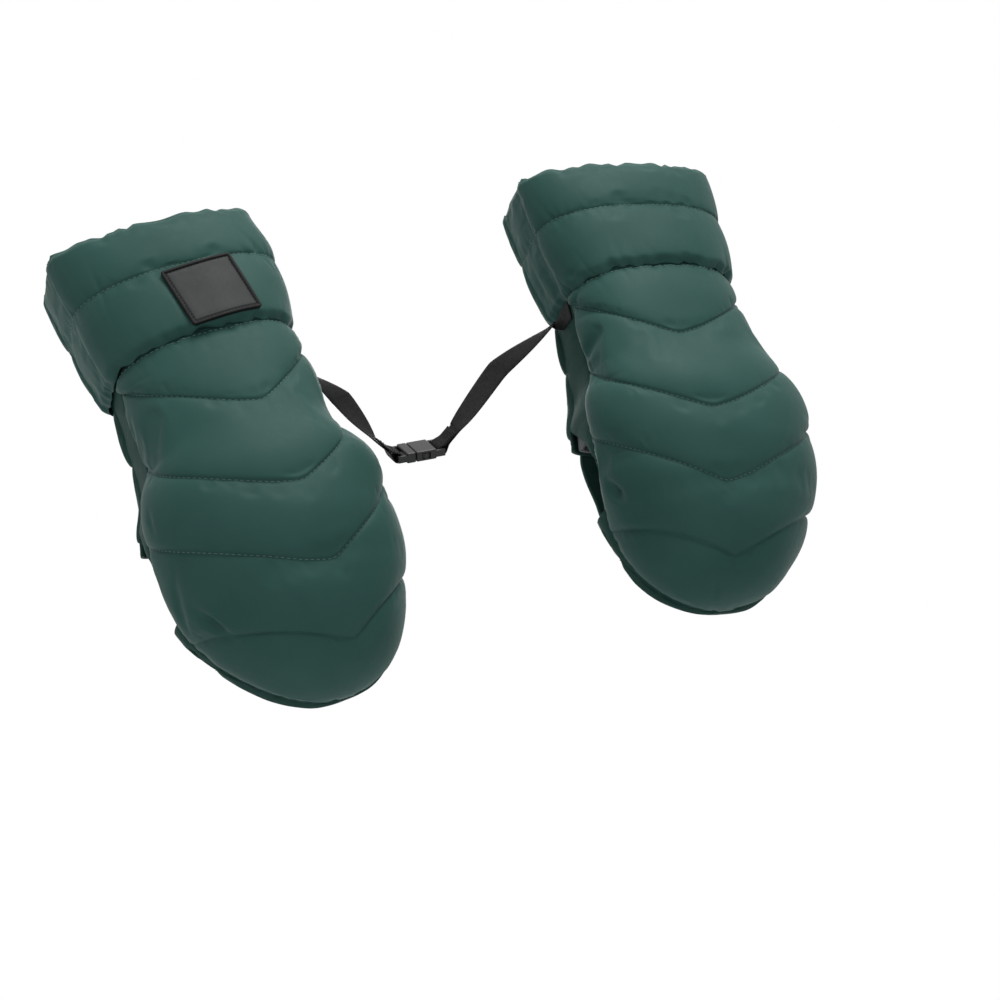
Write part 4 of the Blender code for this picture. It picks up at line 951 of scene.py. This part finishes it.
def bar_flap(side):
    """The flap over the bar slot, with a bound edge and a row of topstitching inside it."""
    turns = np.linspace(-FLAP_TURN, FLAP_TURN, 61)[None]
    z = np.linspace(-(SLOT_Z + FLAP_LAP), HINGE_Z, 81)[:, None]
    rise = GAP + (SNAP_STACK - GAP) * (1 - eased(HINGE_Z - FLAP_STEP, HINGE_Z, z))
    wide = np.abs(turns) / FLAP_TURN
    rim = np.minimum((1 - wide) * 48 * MM, z - z[0, 0])
    bound = 0.35 * np.sin(np.pi * np.clip(rim / BINDING, 0, 1)) ** 0.5
    band = np.where(rim < BINDING, bound, 0) * MM
    pad = 0.5 * MM * eased(BINDING, 14 * MM, rim)
    outer = off_back(z, turns, rise + FLAP - 0.5 * MM + band + pad)
    inner = off_back(z, turns, rise + 0 * turns)
    outer = waved(outer, outward(outer, inner), 70 + (side == "left"), 0.18 * MM)
    outer, inner = placed(outer, side), placed(inner, side)
    sewn(side, "slot_flap", (outer, inner), DARK_SHELL, "back_cloth", "bar_flap", body="flap")
    normal = outward(outer, inner)
    paths = [(outer[4:, 5], normal[4:, 5]), (outer[4:, -6], normal[4:, -6])]
    paths.append((outer[4, 5:-5], normal[4, 5:-5]))
    stitches(f"{side}_flap_stitches", paths, f"{side}_flap", "back_cloth", THREAD)


CUT_WIDE, CUT_DEPTH = 240 * MM, 92 * MM


def lining(side):
    """A fleece sock, open at the cuff, with the bar slot cut through its sides and back."""
    turn = np.linspace(math.asin(TIP_STOP), 0, 26)
    straight = np.linspace(LOBE_Z, TOP_Z - 1.5 * MM, 70)[1:]
    z = np.concatenate([LOBE_Z - LOBE_LENGTH * np.sin(turn), straight])[:, None]
    out = -(PANEL + ELASTIC + 2 * GAP) - 3 * MM * (1 - eased(TIP_Z, LOBE_Z, z))
    out = out * (1 - eased(BODY_TOP_Z + GAP, BODY_TOP_Z + 8 * MM, z))
    grids = [round_mitt(z, out - depth, dense(49), -dense(37)) for depth in (0, LINING)]
    rng = np.random.default_rng(90 + (side == "left"))
    inside = outward(grids[1], grids[0], True)
    rough = rng.normal(size=grids[1].shape[:2])
    for _ in range(2):
        rough = (rough + np.roll(rough, 1, 1) + np.roll(rough, -1, 1)) / 3
        rough[1:-1] = (rough[1:-1] + rough[:-2] + rough[2:]) / 3
    grids[1] = grids[1] + inside * (rough * 0.8 * MM)[..., None]
    mesh = mesh_of("fleece_sock", [placed(g, side) for g in grids], ring=True)
    bm = bmesh.new()
    bm.from_mesh(mesh)
    bm.verts.ensure_lookup_table()
    rows, columns = grids[0].shape[:2]
    bm.faces.new([bm.verts[i] for i in range(columns)])
    bm.faces.new([bm.verts[rows * columns + i] for i in range(columns)])
    tips = {v for v in bm.verts if v.index < columns or 0 <= v.index - rows * columns < columns}
    bottom = [f for f in bm.faces if len(f.verts) == 4 and all(v in tips for v in f.verts)]
    bmesh.ops.delete(bm, geom=bottom, context="FACES_ONLY")
    bmesh.ops.recalc_face_normals(bm, faces=bm.faces)
    bm.to_mesh(mesh)
    bm.free()
    sock = linked("fleece_sock", mesh)
    cut = bpy.data.meshes.new("slot_cut")
    bm = bmesh.new()
    bmesh.ops.create_cube(bm, size=1)
    bm.to_mesh(cut)
    bm.free()
    slot = linked("slot_cut", cut)
    middle = Matrix.Translation((0, -12 * MM + CUT_DEPTH / 2, 0))
    size = Matrix.Diagonal((CUT_WIDE, CUT_DEPTH, 2 * SLOT_Z, 1))
    slot.matrix_world = world_of(side) @ middle @ size
    modifier = sock.modifiers.new("slot", "BOOLEAN")
    modifier.operation = "DIFFERENCE"
    modifier.object = slot
    bpy.context.view_layer.update()
    graph = bpy.context.evaluated_depsgraph_get()
    made = bpy.data.meshes.new_from_object(sock.evaluated_get(graph))
    for obj in (sock, slot):
        bpy.data.objects.remove(obj)
    made.materials.clear()
    name = f"{side}_fleece_sock"
    piece = add_piece(name, made, FLEECE, f"{side}_muff", "fleece", f"{side}_lining")


def wrist_elastic(side):
    """A ribbed tape under the wrist's gathers."""
    z = np.linspace(WRIST_Z - 16 * MM, WRIST_Z - 4 * MM, 25)[:, None]
    ribs = 0.18 * MM * np.sin(np.linspace(0, 12 * math.pi, 25))[:, None]
    outs = -(PANEL + GAP) + ribs - 0.2 * MM, -(PANEL + GAP + ELASTIC) - ribs + 0.2 * MM
    grids = [placed(round_mitt(z, out, dense(61), -dense(45)), side) for out in outs]
    sewn(side, "elastic_tape", grids, ELASTIC_KNIT, "elastic", "wrist_elastic", ring=True)


# Straps of webbing

WEBBING_THICK, WEBBING_WIDE = 1.2 * MM, 15 * MM
BUCKLE = Vector((-41.8 * MM, -BAR_BACK, 48.7 * MM))
BUCKLE_LEAN, LOOP_LEAN = math.radians(50), math.radians(45)
STRAP_HANGS = {-1: (math.radians(57), 5 * MM), 1: (math.radians(36), 6.5 * MM)}
BAR_X = {-1: -11.95 * MM, 1: 19.75 * MM}
BAR_SIZE = 2.3 * MM, 3 * MM
LEG_GAP = 0.08 * MM
LOOP_REACH, TAIL_REACH = 18 * MM, 15.5 * MM
STRAP_Z = 124.5 * MM
STRAP_STITCH = 1.4 * MM, 0.7 * MM, 0.16 * MM
STITCH_SIDE, TAIL_ROWS = 5.5, 12


def hung(first, last, steps):
    """Frames on a smooth curve after the first frame, up to and with the last one."""
    reach = (last[0] - first[0]).length * 0.35
    frames = []
    for t in np.linspace(0, 1, steps + 1)[1:]:
        t = float(t)
        place = first[0].lerp(last[0], t * t * (3 - 2 * t))
        place += first[1] * reach * t * (1 - t) ** 2 - last[1] * reach * t * t * (1 - t)
        heading = (last[0] - first[0]) * 6 * t * (1 - t)
        heading += first[1] * reach * (1 - t) * (1 - 3 * t)
        heading += last[1] * reach * t * (3 * t - 2)
        frames.append((place, heading.normalized(), first[2].lerp(last[2], t)))
    return frames


def sewn_loop(side, bar_x):
    """Frames down to a buckle's crossbar, round it, and back as a sewn tail."""
    normal = Vector((0, -math.sin(BUCKLE_LEAN), math.cos(BUCKLE_LEAN)))
    width = Vector((0, math.cos(BUCKLE_LEAN), math.sin(BUCKLE_LEAN)))
    away = Vector((side * math.cos(LOOP_LEAN), 0, 0)) + normal * math.sin(LOOP_LEAN)
    lift = width.cross(away) * side
    bar = BUCKLE + Vector((bar_x, 0, 0))
    radius = math.hypot(*BAR_SIZE) / 2 + 2 * GAP + WEBBING_THICK / 2
    leg = (WEBBING_THICK + LEG_GAP) / 2

    def on_leg(distance, sign):
        offset = leg + (radius - leg) * (1 - float(eased(0, 8 * MM, distance)))
        return bar + away * distance + lift * offset * sign

    step = 1 * MM
    frames = []
    for distance in np.linspace(LOOP_REACH, 0, 19):
        heading = on_leg(max(distance - step, 0), 1) - on_leg(distance + step, 1)
        frames.append((on_leg(distance, 1), heading.normalized(), width))
    for turn in np.linspace(0, math.pi, 17)[1:-1]:
        turn = float(turn)
        place = bar - away * radius * math.sin(turn) + lift * radius * math.cos(turn)
        frames.append((place, -away * math.cos(turn) - lift * math.sin(turn), width))
    for distance in np.linspace(0, TAIL_REACH, 16):
        heading = on_leg(distance + step, -1) - on_leg(max(distance - step, 0), -1)
        frames.append((on_leg(distance, -1), heading.normalized(), width))
    return frames


def strap_route(side):
    """Frames of the webbing from its sewn end, twisted off the mitt, to the buckle and back."""
    sign = -1 if side == "left" else 1
    matrix = world_of(side)
    heights = np.linspace(STRAP_Z - WEBBING_WIDE / 2, STRAP_Z + WEBBING_WIDE / 2, 5)
    seat = float(np.max(half_width(heights) + side_shift(heights))) + 0.6 * MM + WEBBING_THICK / 2
    front = float(front_seam(STRAP_Z))

    def in_world(point, heading, width):
        turn = matrix.to_3x3()
        ways = [(turn @ Vector(way)).normalized() for way in (heading, width)]
        return matrix @ Vector(point), *ways

    start = in_world((seat, front + 1 * MM, STRAP_Z), (0, 1, 0), (0, 0, 1))
    lifted = in_world((seat + 1 * MM, -1 * MM, STRAP_Z), (0, 1, 0), (0, 0, 1))
    off = (seat + 7 * MM, 6 * MM, STRAP_Z + 1 * MM)
    twisted = in_world(off, (0.80, 0.15, -0.58), (-0.25, 0.88, 0.40))
    loop = sewn_loop(sign, BAR_X[sign])
    slope, bow = STRAP_HANGS[sign]
    width = Vector((-sign * math.sin(slope), 0, math.cos(slope)))
    straight = loop[0][0] - twisted[0]
    middle = (twisted[0] + straight / 2 + width * bow, straight.normalized(), width)
    frames = [start, *hung(start, lifted, 8), *hung(lifted, twisted, 14)]
    frames += hung(twisted, middle, 24)
    return frames + hung(middle, loop[0], 20) + loop[1:]


def strap(side):
    """A ribbon along its route, with the box of stitches that holds its tail."""
    frames = strap_route(side)
    places = np.array([f[0] for f in frames])
    run = lengths(places[None], 1)[0]
    share = np.linspace(-1, 1, 17)
    round_off = np.sqrt(np.maximum(1 - np.abs(share) ** 10, 0.04))
    rows, ups = [], []
    for point, heading, width in frames:
        across = (width - heading * width.dot(heading)).normalized()
        up = heading.cross(across).normalized()
        ups.append(up)
        flat = np.array(point)[None] + np.outer(share * WEBBING_WIDE / 2, np.array(across))
        lift = np.outer(round_off * WEBBING_THICK / 2, np.array(up))
        rows.append(np.concatenate([flat - lift, (flat + lift)[::-1]]))
    grid = np.array(rows)
    name = f"{side}_webbing"
    count = grid.shape[1]
    mesh = oriented(mesh_of(name, [grid], ring=True), count, (0, (len(frames) - 1) * count))
    sides = np.concatenate([share, share[::-1]]) * WEBBING_WIDE / 2
    chart = mesh.uv_layers.new(name="weave")
    for corner in mesh.loops:
        row, column = divmod(corner.vertex_index, count)
        chart.data[corner.index].uv = (sides[column], run[row])
    piece = add_piece(name, mesh, WEBBING, f"{side}_muff", "webbing", f"{side}_strap")
    ways = np.array([f[2] for f in frames])
    ups = np.array(ups)
    tail = len(frames) - TAIL_ROWS
    lines = []
    for across in (-STITCH_SIDE, STITCH_SIDE):
        lines.append((places[tail:-1] + ways[tail:-1] * across * MM, ups[tail:-1]))
    for row in (tail, len(frames) - 3):
        line = places[row] + np.outer(np.linspace(-STITCH_SIDE, STITCH_SIDE, 9) * MM, ways[row])
        lines.append((line, np.tile(ups[row], (9, 1))))
    paths = []
    for line, up in lines:
        paths += [(line + up * face * WEBBING_THICK / 2, up * face) for face in (-1, 1)]
    name = f"{side}_strap_stitches"
    stitches(name, paths, f"{side}_muff", "webbing", BLACK_THREAD, *STRAP_STITCH)


# Folds seen in the photo, in millimetres of a mitt's own frame
FRONT_FOLDS = {
    "left": (
        ((-65.5, -26, 90), (-2.8, 5.7, -22.5), 10, 3, 1.3),
        ((-81.5, -41, 22), (-1.6, 0, -10.4), 7, 2.5, 0.9),
        ((-71, -32, -50), (7.6, 1.9, -18.7), 10, 3.6, 6.0),
        ((-82, -25, -28), (0, 32, -34), 20, 3.5, 1.8),
        ((38, -66, 49), (-5.5, 4.2, 22), 11, 2.5, 1.1),
        ((33, -67, 45), (-10, 2, 14), 8, 2, 0.8),
    ),
    "right": (
        ((60, -33, 82), (8.6, 25.7, -11.8), 15, 5, 3.0),
        ((67, -26, -28), (8, 6, 12), 9, 3.6, 6.5),
        ((14.5, -24, -106), (-3, 15, -8), 9, 2.5, 1.2),
        ((62, -29, 123), (2, 8, -6), 8, 3, 2.0),
    ),
}
CUFF_FOLDS = {
    "left": (
        ((58, -46, 190), (8, 4.4, -22), 12, 2.5, 1.4),
        ((49, -50, 187), (12, 3, -13), 8, 2, 1.0),
    ),
    "right": (
        ((66, -12, 150), (1, 3, 30), 22, 4, 1.6),
        ((66, 4, 158), (0, -3, 34), 20, 3.5, 1.4),
        ((60, -34, 141), (-6, 8, 8), 8, 3, 1.4),
    ),
}
PER_MITT = (front_panel, cuff, backs, gussets, bar_flap, lining, wrist_elastic, strap)
for mitt in ("left", "right"):
    for build in PER_MITT:
        build(mitt)
badge()


def as_built(part, material):
    """A solid of the frame that is kept, in the scene's own material."""
    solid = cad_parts[part]
    solid.data.materials.clear()
    solid.data.materials.append(material)


for part in ("plug", "socket", "prong_upper", "prong_lower"):
    as_built(f"buckle_{part}", PLASTIC)
for mitt in ("left", "right"):
    for part in ("stud_outer", "stud_inner", "socket_outer", "socket_inner"):
        as_built(f"{mitt}_snap_{part}", STUD_METAL)


# Camera at the photograph's place, for a square picture
YAW, RISE, ROLL = 0.4161, -0.3835, -0.3533
CAMERA_REACH = 1.2188
SENSOR_MM, LENS_MM = 36, 64.8
SHIFT_X, SHIFT_Y = 9.59 / 1000, 3.91 / 1000
back_way = Vector(
    (-math.sin(YAW) * math.cos(RISE), -math.cos(YAW) * math.cos(RISE), math.sin(RISE))
)
right_way = (-back_way).cross(Vector((0, 0, 1))).normalized()
up_way = right_way.cross(-back_way)
turned_right = right_way * math.cos(ROLL) + up_way * math.sin(ROLL)
turned_up = up_way * math.cos(ROLL) - right_way * math.sin(ROLL)
camera = linked("camera", bpy.data.cameras.new("camera"))
stand = Matrix.Translation(back_way * CAMERA_REACH + Vector((0, -BAR_BACK, 0)))
camera.matrix_world = stand @ Matrix((turned_right, turned_up, back_way)).transposed().to_4x4()
camera.data.sensor_width = SENSOR_MM
camera.data.lens = LENS_MM
camera.data.shift_x = SHIFT_X
camera.data.shift_y = SHIFT_Y
bpy.context.scene.camera = camera

# Lamps as (name, place, size, watts), all facing one target
TARGET = Vector((0, 0, 0.05))
LAMPS = (
    ("key", (0.5, -1.1, 1.6), 1.1, 27),
    ("fill", (-1.1, -1.5, -0.5), 1.4, 4.2),
    ("back", (0.6, 1.5, 1.0), 1.2, 8),
)
for name, place, size, watts in LAMPS:
    light = bpy.data.lights.new(name, "AREA")
    light.shape = "DISK"
    light.size = size
    light.energy = watts
    lamp = linked(name, light)
    lamp.location = place
    lamp.rotation_euler = (TARGET - Vector(place)).to_track_quat("-Z", "Y").to_euler()


def white_seen(tree, shade, seen):
    """A shade in whose place the camera, reflections and transmission see another."""
    path = node(tree, "ShaderNodeLightPath")
    most = path.outputs["Is Camera Ray"]
    for ray in ("Is Glossy Ray", "Is Transmission Ray"):
        most = combined(tree, "MAXIMUM", most, path.outputs[ray], 1)
    mix = node(tree, "ShaderNodeMixShader")
    link(tree, most, mix.inputs["Fac"])
    link(tree, shade, mix.inputs[1])
    link(tree, seen, mix.inputs[2])
    return mix.outputs["Shader"]


ROOM_LIGHT, FLOOR_LIGHT = 0.28, 0.38
FLOOR_Z = -1.35
world = bpy.data.worlds.new("studio")
bpy.context.scene.world = world
world.use_nodes = True
tree = world.node_tree
tree.nodes.clear()
glow = node(tree, "ShaderNodeBackground", Color=(0.9, 0.95, 1, 1), Strength=ROOM_LIGHT)
white = node(tree, "ShaderNodeBackground", Color=(1, 1, 1, 1), Strength=1.0)
seen = white_seen(tree, glow.outputs["Background"], white.outputs["Background"])
link(tree, seen, node(tree, "ShaderNodeOutputWorld").inputs["Surface"])

floor_mesh = bpy.data.meshes.new("floor")
reach = 6.0
corners = [(-reach, -reach, 0), (reach, -reach, 0), (reach, reach, 0), (-reach, reach, 0)]
floor_mesh.from_pydata(corners, [], [(0, 1, 2, 3)])
floor = linked("floor", floor_mesh)
floor.location = (0, 0, FLOOR_Z)
floor_shade, tree, floor_shader = blank("floor", 0.9)
floor_shader.inputs["Base Color"].default_value = (0.86, 0.86, 0.86, 1)
pale = node(tree, "ShaderNodeEmission", Strength=FLOOR_LIGHT)
both = node(tree, "ShaderNodeAddShader")
link(tree, floor_shader.outputs["BSDF"], both.inputs[0])
link(tree, pale.outputs["Emission"], both.inputs[1])
seen = white_seen(tree, floor_shader.outputs["BSDF"], both.outputs["Shader"])
link(tree, seen, next(n for n in tree.nodes if n.type == "OUTPUT_MATERIAL").inputs["Surface"])
floor_mesh.materials.append(floor_shade)

bpy.context.scene.view_settings.view_transform = "Standard"
